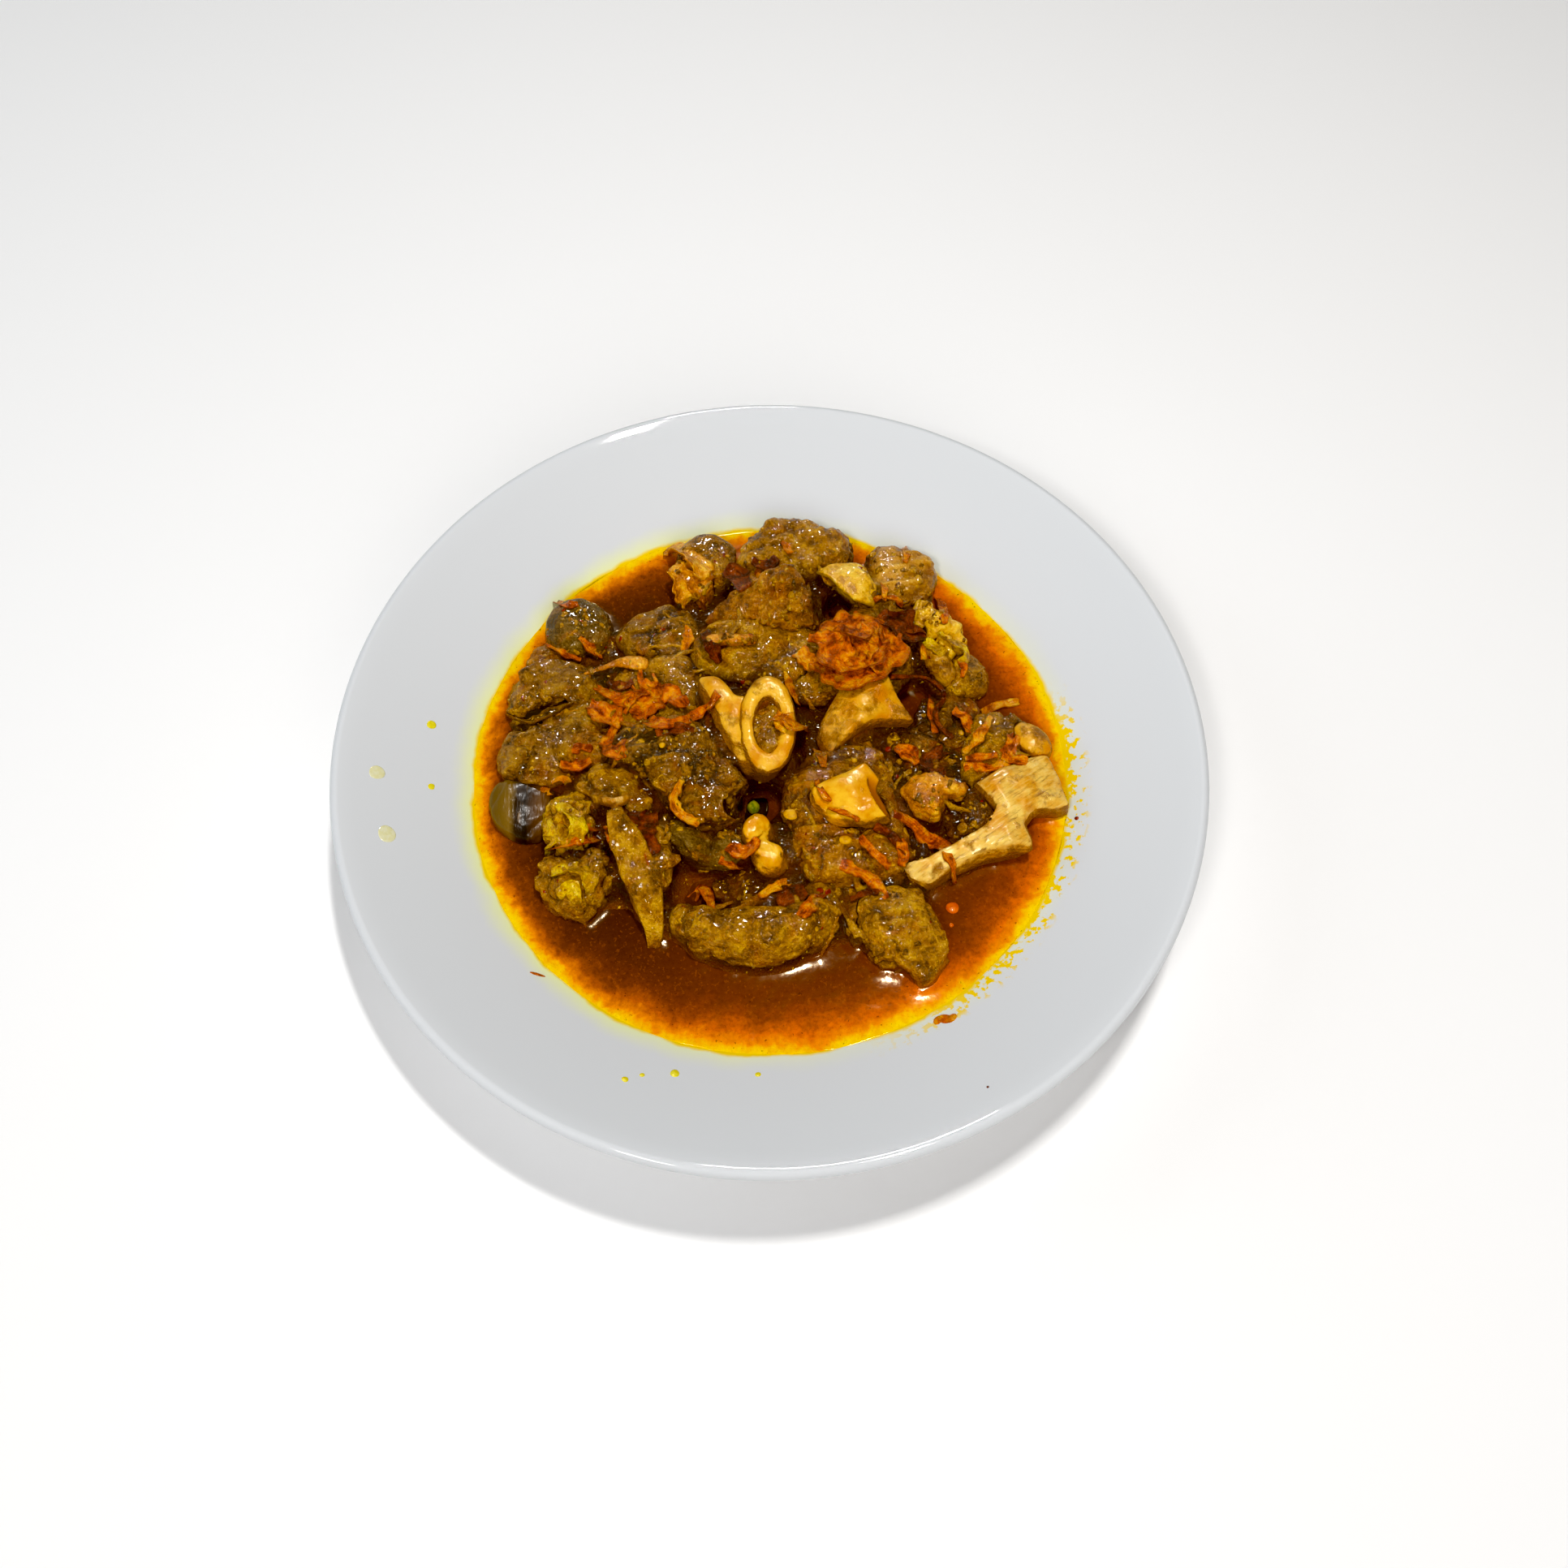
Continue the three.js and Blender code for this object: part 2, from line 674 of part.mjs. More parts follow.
function addMeat() {
  const pieces = {
    meat_centre: {
      rim: [[-23, 45, 8], [-22, 34, 8], [-14, 28, 8], [-4, 26, 9], [6, 26, 10], [13, 34, 11], [15, 46, 12],
        [2, 51, 13], [-12, 50, 12]],
      tops: [[-8, 42, 14.5], [8, 44, 14.5], [-4, 32, 13]],
      ...LARGE,
      relief: 0.9,
      seed: 11,
    },
    meat_peak: {
      rim: [[-20, 50, 9], [-12, 60, 13], [0, 69, 19], [5, 72.5, 22], [8, 68, 20], [13, 56, 13],
        [15, 46, 10], [2, 43, 10], [-12, 45, 9]],
      tops: [[4, 70, 25], [1, 57, 18], [-8, 54, 14]],
      square: 2.2,
      ...LARGE,
      relief: 0.8,
      seed: 12,
    },
    meat_back: {
      rim: [[-11, 70, 4], [-8, 80, 7], [0, 87, 9], [10, 88, 9], [18, 83, 8], [26, 80, 6], [27, 72, 4],
        [20, 64, 4], [4, 62, 4], [-12, 62, 3]],
      tops: [[2, 82, 13], [14, 80, 12], [6, 72, 11]],
      ...LARGE,
      relief: 1.1,
      grain: 5,
      seed: 13,
    },
    meat_back_left: {
      rim: [[-29, 66, 2], [-28, 76, 4], [-23, 82.5, 6], [-16, 82, 6], [-11, 78, 6], [-10, 68, 4],
        [-14, 60, 2], [-22, 58, 1]],
      tops: [[-18, 75, 9]],
      seed: 14,
    },
    meat_shoulder: {
      rim: [[28, 70, 3], [32, 77, 5], [40, 76, 6], [46, 74, 6], [50, 68, 5], [50, 60, 4], [44, 53, 3],
        [36, 55, 4], [30, 60, 4]],
      tops: [[36, 70, 11], [44, 68, 10]],
      square: 3,
      relief: 0.4,
      seed: 15,
    },
    meat_under_onion: {
      rim: [[6, 34, 8], [10, 44, 9], [20, 52, 8], [30, 58, 6], [40, 54, 6], [44, 44, 6], [42, 32, 6],
        [34, 24, 7], [22, 22, 9], [10, 21, 10], [5, 26, 10]],
      tops: [[12, 30, 13], [24, 40, 16], [34, 46, 12]],
      ...LARGE,
      seed: 16,
    },
    meat_east: {
      rim: [[51, 31, 3], [53, 37, 4], [60, 37, 4], [63.5, 30, 2], [62, 24, 1], [56, 23, 2], [51, 25, 3]],
      tops: [[58, 32, 8]],
      relief: 0.7,
      seed: 17,
    },
    meat_east_low: {
      rim: [[43, 10, 1], [42, 20, 2], [47, 26, 3], [55, 25, 3], [62, 18, 3], [60, 9, 2], [52, 4, 2]],
      tops: [[46, 16, 5], [57, 17, 5]],
      seed: 18,
    },
    meat_right: {
      rim: [[54, 7, 3], [58, 15, 4], [66, 18, 4], [75, 14, 4], [80, 5, 3], [78, -3, 4], [66, -7, 6],
        [57, -7, 6], [53, 0, 5]],
      tops: [[62, 6, 9], [72, 5, 8]],
      ...LARGE,
      relief: 0.8,
      seed: 19,
    },
    meat_nook: {
      rim: [[48, -12, 4], [53, -7, 5], [61, -8, 5], [62, -18, 4], [56, -23, 3], [49, -22, 3]],
      tops: [[55, -14, 8]],
      relief: 0.8,
      seed: 20,
    },
    meat_inner_right: {
      rim: [[31, 5, 6], [33, 14, 7], [42, 13, 5], [52, 5, 4], [53, -2, 4], [47, -20, 3], [38, -27, 3],
        [33, -20, 5], [34, -8, 6]],
      tops: [[38, 8, 9], [45, 2, 7], [40, -20, 6]],
      seed: 21,
    },
    meat_saddle: {
      rim: [[3, -6, 9], [8, 1, 10], [14, 6, 9], [24, 9, 9], [33, 6, 9], [36, -6, 9], [37, -20, 7],
        [39, -30, 5], [34, -36, 4], [22, -37, 3], [11, -37, 3], [8, -28, 7], [4, -18, 9]],
      tops: [[10, -12, 14], [22, -26, 13], [31, -27, 11], [20, 5, 12]],
      ...LARGE,
      relief: 0.9,
      seed: 22,
    },
    meat_west: {
      rim: [[-47, 5, 10], [-44, 12, 12], [-34, 17, 14], [-24, 16, 15], [-17, 11, 16], [-12, 4, 15],
        [-7, -3, 14], [-5, -9, 12], [-9, -18, 11], [-18, -20, 11], [-26, -16, 12], [-32, -8, 12],
        [-38, -2, 11], [-44, -1, 10]],
      tops: [[-34, 6, 19], [-18, -8, 19], [-24, 5, 20]],
      ...LARGE,
      relief: 1.1,
      seed: 23,
    },
    meat_fold: {
      rim: [[-30, -13, 8], [-31.5, -20, 6], [-26, -27, 5], [-16, -30.5, 4], [-7, -29, 5], [-7, -22, 8],
        [-18, -18, 9], [-25, -14, 10]],
      tops: [[-25, -21, 13], [-13, -25, 10]],
      relief: 0.9,
      seed: 24,
    },
    meat_knot: {
      rim: [[-58, 4, 4], [-56, 10, 5], [-49, 11, 6], [-44, 5, 6], [-47, -1, 5], [-55, -1, 4]],
      tops: [[-51, 6, 10]],
      seed: 26,
    },
    meat_far_west: {
      rim: [[-77, 1, 2], [-76, 9, 3], [-70, 13, 4], [-61, 11, 5], [-53, 5, 5], [-54, -4, 4], [-63, -6, 3],
        [-73, -5, 2]],
      tops: [[-65, 4, 9]],
      relief: 0.7,
      seed: 27,
    },
    fold_upper: {
      rim: [[-77, 17, 2], [-73, 27, 4], [-66, 32.5, 5], [-56, 33, 6], [-50, 29, 6], [-54, 24, 5],
        [-64, 20, 4], [-71, 15.5, 3]],
      tops: [[-64, 27, 9]],
      relief: 0.5,
      seed: 28,
    },
    fold_lower: {
      rim: [[-77, 13, 1], [-69, 17, 2], [-57, 24, 4], [-48, 22, 4], [-45, 12, 3], [-54, 8, 3], [-66, 9, 2]],
      tops: [[-58, 17, 7]],
      relief: 0.5,
      seed: 29,
    },
    skin_far_west: {
      rim: [[-77, -5, 2], [-78, -14, 1], [-73, -21, 1], [-66, -24, 0.5], [-61, -20, 2], [-62, -8, 4],
        [-68, -3, 4]],
      tops: [[-70, -12, 6]],
      square: 3,
      relief: 0.3,
      seed: 30,
    },
    meat_north_west: {
      rim: [[-66, 49, 1], [-63, 56, 4], [-57, 58, 5], [-50, 54, 4], [-47, 46, 2], [-49, 38, 0.5],
        [-58, 36, 0.5], [-67, 42, 0.5]],
      tops: [[-57, 49, 9]],
      relief: 0.7,
      seed: 31,
    },
    mash_west: {
      rim: [[-72, 35, 0.5], [-66, 42, 1], [-52, 39, 1], [-48, 33, 1.5], [-56, 31, 2], [-68, 31, 1]],
      tops: [[-60, 36, 3.5]],
      relief: 0.9,
      seed: 32,
    },
    meat_pale_edged: {
      rim: [[-46, 44, 1], [-38, 51, 4], [-30, 55, 5], [-26, 54, 5], [-21, 46, 6], [-22, 37, 6],
        [-34, 33, 4], [-44, 36, 2]],
      tops: [[-33, 46, 9]],
      relief: 0.7,
      seed: 33,
    },
    meat_under_shreds: {
      rim: [[-49, 22, 5], [-44, 32, 6], [-34, 36, 7], [-24, 38, 8], [-19, 30, 9], [-17, 20, 8],
        [-22, 12, 8], [-36, 12, 8], [-47, 14, 6]],
      tops: [[-34, 26, 11], [-26, 30, 12]],
      relief: 0.8,
      seed: 34,
    },
    meat_inner_west: {
      rim: [[-55, -4, 6], [-48, 1, 8], [-38, 0, 9], [-33, -8, 9], [-34, -16, 8], [-46, -14, 9],
        [-52, -12, 8]],
      tops: [[-44, -6, 13]],
      relief: 0.7,
      seed: 35,
    },
    meat_on_rib: {
      rim: [[-41, -14, 11], [-34, -14, 11], [-28, -23, 8], [-26.5, -30, 5], [-29, -42, 1], [-32, -47, 0],
        [-37, -42, 1], [-41, -28, 5]],
      tops: [[-35, -26, 12]],
      relief: 0.6,
      seed: 36,
    },
    meat_wedge: {
      rim: [[24, -41, 4], [33, -37, 6], [40, -38, 5], [45, -46, 3], [48, -55, 1], [45.5, -61, 0],
        [41, -66.5, 0], [36, -61, 0], [30, -60, 0], [26, -55, 1], [24, -47, 3]],
      tops: [[33, -47, 11], [42, -56, 6], [30, -54, 8]],
      ...LARGE,
      relief: 0.8,
      seed: 37,
    },
    meat_front_middle: {
      rim: [[10, -36, 3], [20, -35, 5], [30, -37, 4], [29, -46, 2], [25, -55, 0], [20, -51, 0],
        [17, -44, 2], [10, -42, 2]],
      tops: [[22, -42, 7]],
      relief: 0.7,
      seed: 38,
    },
    meat_pit: {
      rim: [[-16, -36, 2], [-8, -31, 3], [6, -32, 3], [11, -39, 2], [5, -46, 1], [-8, -46, 1]],
      tops: [[-10, -35, 4], [2, -39, 5]],
      seed: 39,
    },
  };
  for (const [name, shape] of Object.entries(pieces)) {
    add(MEAT, name, name.includes('fold') || name.includes('west') ? 'darkMeat' : 'meat', lump(shape));
  }
  const crescent = bar({
    spine: [[-25, -43, 2], [-20, -49, 2], [-10, -51, 3], [2, -51, 3], [12, -47, 3], [18, -41, 3]].map(placed),
    width: [10, 13, 16, 16, 13, 9],
    height: [14, 18, 20, 20, 17, 14],
    steps: 9,
    sides: 9,
    relief: 0.8,
    grain: 6,
    seed: 40,
  });
  add(MEAT, 'meat_crescent', 'meat', crescent);
}

// Fried onion, laid where the line of sight meets the heap

const caster = new THREE.Raycaster();

function heightSeen([x, y], targets) {
  const to = placed([x, y]);
  caster.set(EYE, to.sub(EYE).normalize());
  const [hit] = caster.intersectObjects(targets, false);
  return hit ? Math.max(hit.point.z - GRAVY_TOP, 0) : 0;
}

function laid(points, lift, targets) {
  const route = new THREE.CatmullRomCurve3(points.map(([x, y, extra = 0]) => new THREE.Vector3(x, y, extra)));
  const stops = route.getSpacedPoints(Math.max(Math.round(route.getLength() / LAID_STEP), 3));
  const heights = stops.map((at) => heightSeen([at.x, at.y], targets));
  for (let pass = 0; pass < TAUTNESS; pass += 1) {
    for (let i = 1; i + 1 < heights.length; i += 1) {
      heights[i] = Math.max(heights[i], (heights[i - 1] + heights[i + 1]) / 2);
    }
  }
  return stops.map((at, i) => placed([at.x, at.y, heights[i] + lift + at.z]));
}

function addOnions() {
  const targets = heap.map(({ solid }) => new THREE.Mesh(toGeometry(solid)));
  const strip = (points, { thickness = 1.4, ...shape }) => (
    ribbon({ spine: laid(points, CLEARANCE + thickness / 2, targets), thickness, ...shape })
  );

  const bunch = [
    [[[13, 37, 1], [19, 33, 1], [26, 32, 1], [33, 36, 1]], { width: [4, 9, 9, 5], cup: 0.3, seed: 1 }],
    [[[15, 46, 1], [22, 49, 1], [30, 49, 1], [35, 44, 1]], { width: [4, 9, 9, 5], cup: -0.3, seed: 2 }],
    [[[34, 46, 2], [35, 39, 2], [30, 33, 2]], { width: [5, 8, 5], cup: 0.4, roll: 0.5, seed: 3, rows: 5 }],
    [[[16, 44, 2], [19, 38, 3], [27, 37, 3], [30, 44, 3]], { width: [5, 9, 9, 6], cup: 0.5, seed: 4 }],
  ].map(([points, shape]) => strip(points, { thickness: 2.2, wave: 0.9, rows: 5, columns: 2, ...shape }));
  add(ONION, 'onion_bunch', 'onion', wasm.Manifold.union(bunch));

  add(ONION, 'onion_leaf', 'darkOnion', strip(
    [[33, 53, 2], [37, 50, 2], [42, 47, 2], [45, 45, 1]],
    { width: [3, 6, 7, 3], cup: 0.4, wave: 0.8, thickness: 1.6, seed: 6 },
  ));
  add(ONION, 'onion_over_ring', 'onion', strip(
    [[1.5, 17], [5, 16.5], [9, 14], [12.5, 10], [14.5, 5], [15.5, 1]],
    { width: [5, 5, 4, 3.4, 3, 1.4], cup: 0.2, roll: [0.2, 0, -0.3], thickness: 1.4, seed: 7 },
  ));
  const westFlakes = [
    [[[-40, 18], [-36, 23], [-34, 28.5]], { width: [4, 8, 3], seed: 8, rows: 5 }],
    [[[-33, 25], [-28, 24], [-24, 21.5]], { width: [6, 5, 2], seed: 9, rows: 5 }],
    [[[-37, 17], [-32, 16], [-26, 16], [-20, 19], [-15, 25, 1]], { width: [4, 3, 2.4, 2.6, 3], seed: 10 }],
    [[[-53, 21], [-48, 18], [-43, 14]], { width: [3, 6, 3], seed: 11, rows: 5 }],
    [[[-51, 29], [-47, 25], [-41, 22], [-37, 19]], { width: [2, 2.4, 3, 3], seed: 12 }],
  ].map(([points, shape]) => strip(points, { thickness: 1.8, wave: 0.5, cup: 0.2, ...shape }));
  add(ONION, 'onion_shreds_west', 'onion', wasm.Manifold.union(westFlakes));
  add(ONION, 'onion_flake_west', 'onion', strip(
    [[-48.5, 9], [-45, 7.5], [-42, 3.5]], { width: [2, 5, 3], rows: 5, seed: 13 },
  ));
  add(ONION, 'onion_wire', 'darkOnion', strip(
    [[36, 31, 1], [41, 31, 2], [46, 30.5, 3], [50, 27, 3], [50.5, 23.5, 2], [48, 20, 1], [48.5, 15],
      [52, 11]],
    { width: 1.8, thickness: 1.4, wave: 0.2, rows: 12, seed: 14 },
  ));
  add(ONION, 'onion_double', 'onion', strip(
    [[55, 1], [59, 2], [63, 1], [66.5, 3], [69, 7], [71.5, 11]],
    { width: [3, 3.6, 3.6, 3.4, 3, 1.4], cup: -0.5, thickness: 1.6, seed: 15 },
  ));
  add(ONION, 'onion_shred_east', 'onion', strip(
    [[56, 6], [60, 11], [64, 17]], { width: [1.4, 2.4, 1.4], rows: 6, seed: 16 },
  ));
  add(ONION, 'onion_shred_south', 'darkOnion', strip(
    [[35, -14], [39, -16], [43, -20], [47.5, -23], [50.5, -28], [51, -34]],
    { width: [2, 3, 3.4, 3.4, 3, 2], cup: -0.3, thickness: 1.6, seed: 17 },
  ));
  add(ONION, 'onion_shred_saddle', 'darkOnion', strip(
    [[20, -29.5], [25, -31], [29, -34.5], [31.5, -39]],
    { width: [2.4, 3.4, 3.4, 2], cup: -0.3, thickness: 1.6, seed: 18 },
  ));
  add(ONION, 'onion_shred_west', 'darkOnion', strip(
    [[-60, -24.5], [-55, -22.5], [-50, -21], [-44.5, -21.5], [-42, -18]],
    { width: [2, 3, 3, 3.4, 2.4], thickness: 1.6, seed: 19 },
  ));
}

addBones();
addFat();
addMeat();
addOnions();

const group = new THREE.Group();

function finish(name, colour, solid) {
  const mesh = new THREE.Mesh(toGeometry(solid), new THREE.MeshStandardMaterial(COLOURS[colour]));
  mesh.name = name;
  group.add(mesh);
}

finish('bowl', 'porcelain', bowlSolid());

const room = filling(HEAP_CEILING);
const taken = [];
for (const { name, colour, solid } of heap.sort((a, b) => a.rank - b.rank)) {
  let kept = solid.intersect(room);
  if (taken.length) kept = kept.subtract(wasm.Manifold.union(taken));
  finish(name, colour, largest(kept.simplify(SLIVER)));
  taken.push(grown(solid, GAP + SLIVER).simplify(SLIVER));
}

const core = standing(new THREE.Shape(HEAP_CORE.map(([x, y]) => new THREE.Vector2(x, y))));
const dips = wasm.Manifold.union([core, ...shores, ...taken]).simplify(POOL_SLIVER);
const gravy = filling(GRAVY_TOP).subtract(dips);
finish('gravy', 'gravy', largest(gravy.simplify(POOL_SLIVER)));

export default group;
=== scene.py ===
"""Bowl of mutton bhuna: the dressed model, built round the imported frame.

Lengths are in millimetres until a mesh is made, and every mesh is in metres, in the frame's own axes. A
place in the heap is written as it is seen from the eye point against the plane of the gravy, with its height
above the gravy, as the solids' own source writes it.
"""

import logging
import math
from collections.abc import Callable, Sequence
from dataclasses import dataclass, field
from enum import Enum

import bmesh
import bpy
import numpy as np
from mathutils import Matrix, Vector
from mathutils.bvhtree import BVHTree


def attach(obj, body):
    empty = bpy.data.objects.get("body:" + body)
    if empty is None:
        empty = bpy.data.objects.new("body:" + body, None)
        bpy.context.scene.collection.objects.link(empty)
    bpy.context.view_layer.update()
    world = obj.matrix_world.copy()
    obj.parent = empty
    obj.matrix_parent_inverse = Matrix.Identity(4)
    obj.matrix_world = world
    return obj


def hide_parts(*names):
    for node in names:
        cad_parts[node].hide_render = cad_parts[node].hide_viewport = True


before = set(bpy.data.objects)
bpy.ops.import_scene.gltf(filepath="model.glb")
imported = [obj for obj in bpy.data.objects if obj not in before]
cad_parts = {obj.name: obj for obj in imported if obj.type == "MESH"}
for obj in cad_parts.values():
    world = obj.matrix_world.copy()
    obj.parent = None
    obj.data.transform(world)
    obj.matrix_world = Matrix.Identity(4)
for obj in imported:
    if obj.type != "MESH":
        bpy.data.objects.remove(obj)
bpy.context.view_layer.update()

MM = 0.001
ROOT = "root"
EYE = np.array([4.0, -209.0, 409.0])
GRAVY_TOP = 19.4

log = logging.getLogger("bhuna")

Points = np.ndarray
Colour = tuple[float, float, float]
Place = tuple[float, float, float]


def srgb(red: int, green: int, blue: int) -> Colour:
    """Turns a colour as it is seen on a screen, 0 to 255, into linear light.

    Args:
        red: red, 0 to 255.
        green: green, 0 to 255.
        blue: blue, 0 to 255.

    Returns:
        The three linear values.
    """
    def linear(level: int) -> float:
        """Undoes the screen's curve."""
        share = level / 255
        return share / 12.92 if share <= 0.04045 else ((share + 0.055) / 1.055) ** 2.4

    return linear(red), linear(green), linear(blue)


def placed(seen: Sequence[float]) -> Points:
    """Slides a point seen against the plane of the gravy back along its line of sight.

    Args:
        seen: x and y on the plane of the gravy, and the height above it where it has one.

    Returns:
        The point's place.
    """
    height = seen[2] if len(seen) > 2 else 0.0
    on_gravy = np.array([seen[0], seen[1], GRAVY_TOP])
    return on_gravy + (EYE - on_gravy) * height / (EYE[2] - GRAVY_TOP)


def eased(value: Points, low: float, high: float) -> Points:
    """Runs smoothly from 0 at low to 1 at high."""
    share = np.clip((value - low) / (high - low), 0.0, 1.0)
    return share * share * (3 - 2 * share)


class Grain:
    """Seeded noise over points in millimetres."""

    CORNERS = [(i, j, k) for i in (0, 1) for j in (0, 1) for k in (0, 1)]

    @staticmethod
    def lattice(cells: Points, seed: float) -> Points:
        """Gives each whole-number cell its own value.

        Args:
            cells: cell numbers, one row each.
            seed: sets the draw.

        Returns:
            Values from -1 to 1.
        """
        mixed = np.sin(cells @ np.array([127.1, 311.7, 74.7]) + seed * 53.3) * 43758.5453
        return 2 * (mixed - np.floor(mixed)) - 1

    @classmethod
    def smooth(cls, points: Points, size: float, seed: float) -> Points:
        """Smooth noise with features of one size.

        Args:
            points: places, one row each.
            size: how far apart the features are.
            seed: sets the draw.

        Returns:
            Values from -1 to 1.
        """
        scaled = points / size
        cell = np.floor(scaled)
        part = scaled - cell
        part = part * part * (3 - 2 * part)
        total = np.zeros(len(points))
        for corner in cls.CORNERS:
            weight = np.prod(np.where(np.array(corner), part, 1 - part), axis=1)
            total += weight * cls.lattice(cell + np.array(corner), seed)
        return total

    @classmethod
    def fractal(cls, points: Points, size: float, seed: float, octaves: int = 3) -> Points:
        """Noise with finer and weaker layers over the first.

        Args:
            points: places, one row each.
            size: size of the coarsest features.
            seed: sets the draw.
            octaves: how many layers.

        Returns:
            Values of about -1 to 1.
        """
        total = np.zeros(len(points))
        weight = 1.0
        reach = 0.0
        for layer in range(octaves):
            total += weight * cls.smooth(points + 17.3 * layer, size / 2 ** layer, seed + layer)
            reach += weight
            weight *= 0.5
        return total * 1.4 / reach

    @classmethod
    def creases(cls, points: Points, size: float, seed: float, sharpness: float = 4.0) -> Points:
        """Thin wandering lines, 1 on a line and 0 away from it.

        Args:
            points: places, one row each.
            size: how far apart the lines are.
            seed: sets the draw.
            sharpness: how thin they are.

        Returns:
            Values from 0 to 1.
        """
        bent = points + 0.3 * size * cls.smooth(points, size * 0.7, seed + 5)[:, None]
        return (1 - np.minimum(np.abs(cls.smooth(bent, size, seed)) * 1.6, 1)) ** sharpness

    @classmethod
    def beads(cls, points: Points, size: float, seed: float) -> Points:
        """Rounded grains packed side by side.

        Args:
            points: places, one row each.
            size: size of a grain.
            seed: sets the draw.

        Returns:
            1 in the middle of a grain, and near 0 between grains.
        """
        scaled = points / size
        cell = np.floor(scaled)
        nearest = np.full(len(points), 9.0)
        steps = (-1, 0, 1)
        for step in [(i, j, k) for i in steps for j in steps for k in steps]:
            there = cell + np.array(step)
            jitter = np.stack([cls.lattice(there, seed + axis) for axis in range(3)], axis=1)
            away = there + 0.5 + 0.4 * jitter - scaled
            nearest = np.minimum(nearest, np.einsum("ij,ij->i", away, away))
        return np.clip(1 - nearest * 1.5, 0, 1)


def coordinates(mesh: bpy.types.Mesh) -> Points:
    """Reads a mesh's vertices, in millimetres."""
    flat = np.empty(len(mesh.vertices) * 3, np.float32)
    mesh.vertices.foreach_get("co", flat)
    return flat.reshape(-1, 3).astype(float) / MM


def normals(mesh: bpy.types.Mesh) -> Points:
    """Reads the direction in which each vertex faces."""
    flat = np.empty(len(mesh.vertices) * 3, np.float32)
    mesh.vertex_normals.foreach_get("vector", flat)
    return flat.reshape(-1, 3).astype(float)


def moved(mesh: bpy.types.Mesh, points: Points) -> None:
    """Puts a mesh's vertices at the given places, in millimetres."""
    mesh.vertices.foreach_set("co", (points * MM).astype(np.float32).ravel())
    mesh.update()


def painted(mesh: bpy.types.Mesh, name: str, values: Points) -> None:
    """Stores one value for each vertex, for a material to read."""
    layer = mesh.attributes.get(name) or mesh.attributes.new(name, "FLOAT", "POINT")
    layer.data.foreach_set("value", values.astype(np.float32))


def shown(name: str, mesh: bpy.types.Mesh) -> bpy.types.Object:
    """Puts a mesh in the scene as a smooth piece.

    Args:
        name: the piece's name.
        mesh: its mesh, in metres.

    Returns:
        The new object.
    """
    mesh.name = name
    mesh.shade_smooth()
    made = bpy.data.objects.new(name, mesh)
    bpy.context.scene.collection.objects.link(made)
    return made


def mesh_of(bm: bmesh.types.BMesh, name: str) -> bpy.types.Mesh:
    """Turns a bmesh into a mesh, and frees it."""
    mesh = bpy.data.meshes.new(name)
    bm.to_mesh(mesh)
    bm.free()
    return mesh


def settle(piece: bpy.types.Object) -> None:
    """Applies a piece's modifiers to its mesh."""
    depsgraph = bpy.context.evaluated_depsgraph_get()
    result = bpy.data.meshes.new_from_object(piece.evaluated_get(depsgraph))
    piece.modifiers.clear()
    before = piece.data
    piece.data = result
    bpy.data.meshes.remove(before)
    result.name = piece.name
    result.shade_smooth()


def node_copy(node: str, name: str) -> bpy.types.Object:
    """Copies a node of the frame, with its doubles merged.

    Args:
        node: the node's name.
        name: the new piece's name.

    Returns:
        The copy, as an object of its own.
    """
    bm = bmesh.new()
    bm.from_mesh(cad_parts[node].data)
    bmesh.ops.remove_doubles(bm, verts=bm.verts, dist=0.00001)
    return shown(name, mesh_of(bm, name))


def hand_over(piece: bpy.types.Object, nodes: Sequence[str] = ()) -> None:
    """Makes a finished piece ride on the bowl's body, and stand for the nodes that it replaces.

    Args:
        piece: the finished piece.
        nodes: the nodes of the frame that it stands for.
    """
    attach(piece, ROOT)
    if nodes:
        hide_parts(*nodes)


def finished(name: str, mesh: bpy.types.Mesh, finish: "Finish",
             nodes: Sequence[str] = ()) -> bpy.types.Object:
    """Shows a mesh as a piece, and gives it its finish and its nodes.

    Args:
        name: the piece's name.
        mesh: its mesh, in metres.
        finish: how it looks.
        nodes: the nodes of the frame that it stands for.

    Returns:
        The finished piece.
    """
    piece = shown(name, mesh)
    finish.put_on(piece)
    hand_over(piece, nodes)
    return piece


Socket = bpy.types.NodeSocket
Value = float | Socket


@dataclass(frozen=True)
class Patches:
    """Patches cut out of noise: their size in millimetres, and where in it they start and are whole."""

    size: float
    low: float
    high: float
    detail: float = 3.0
    rough: float = 0.5
    distortion: float = 0.0
    turn: float = 0.0


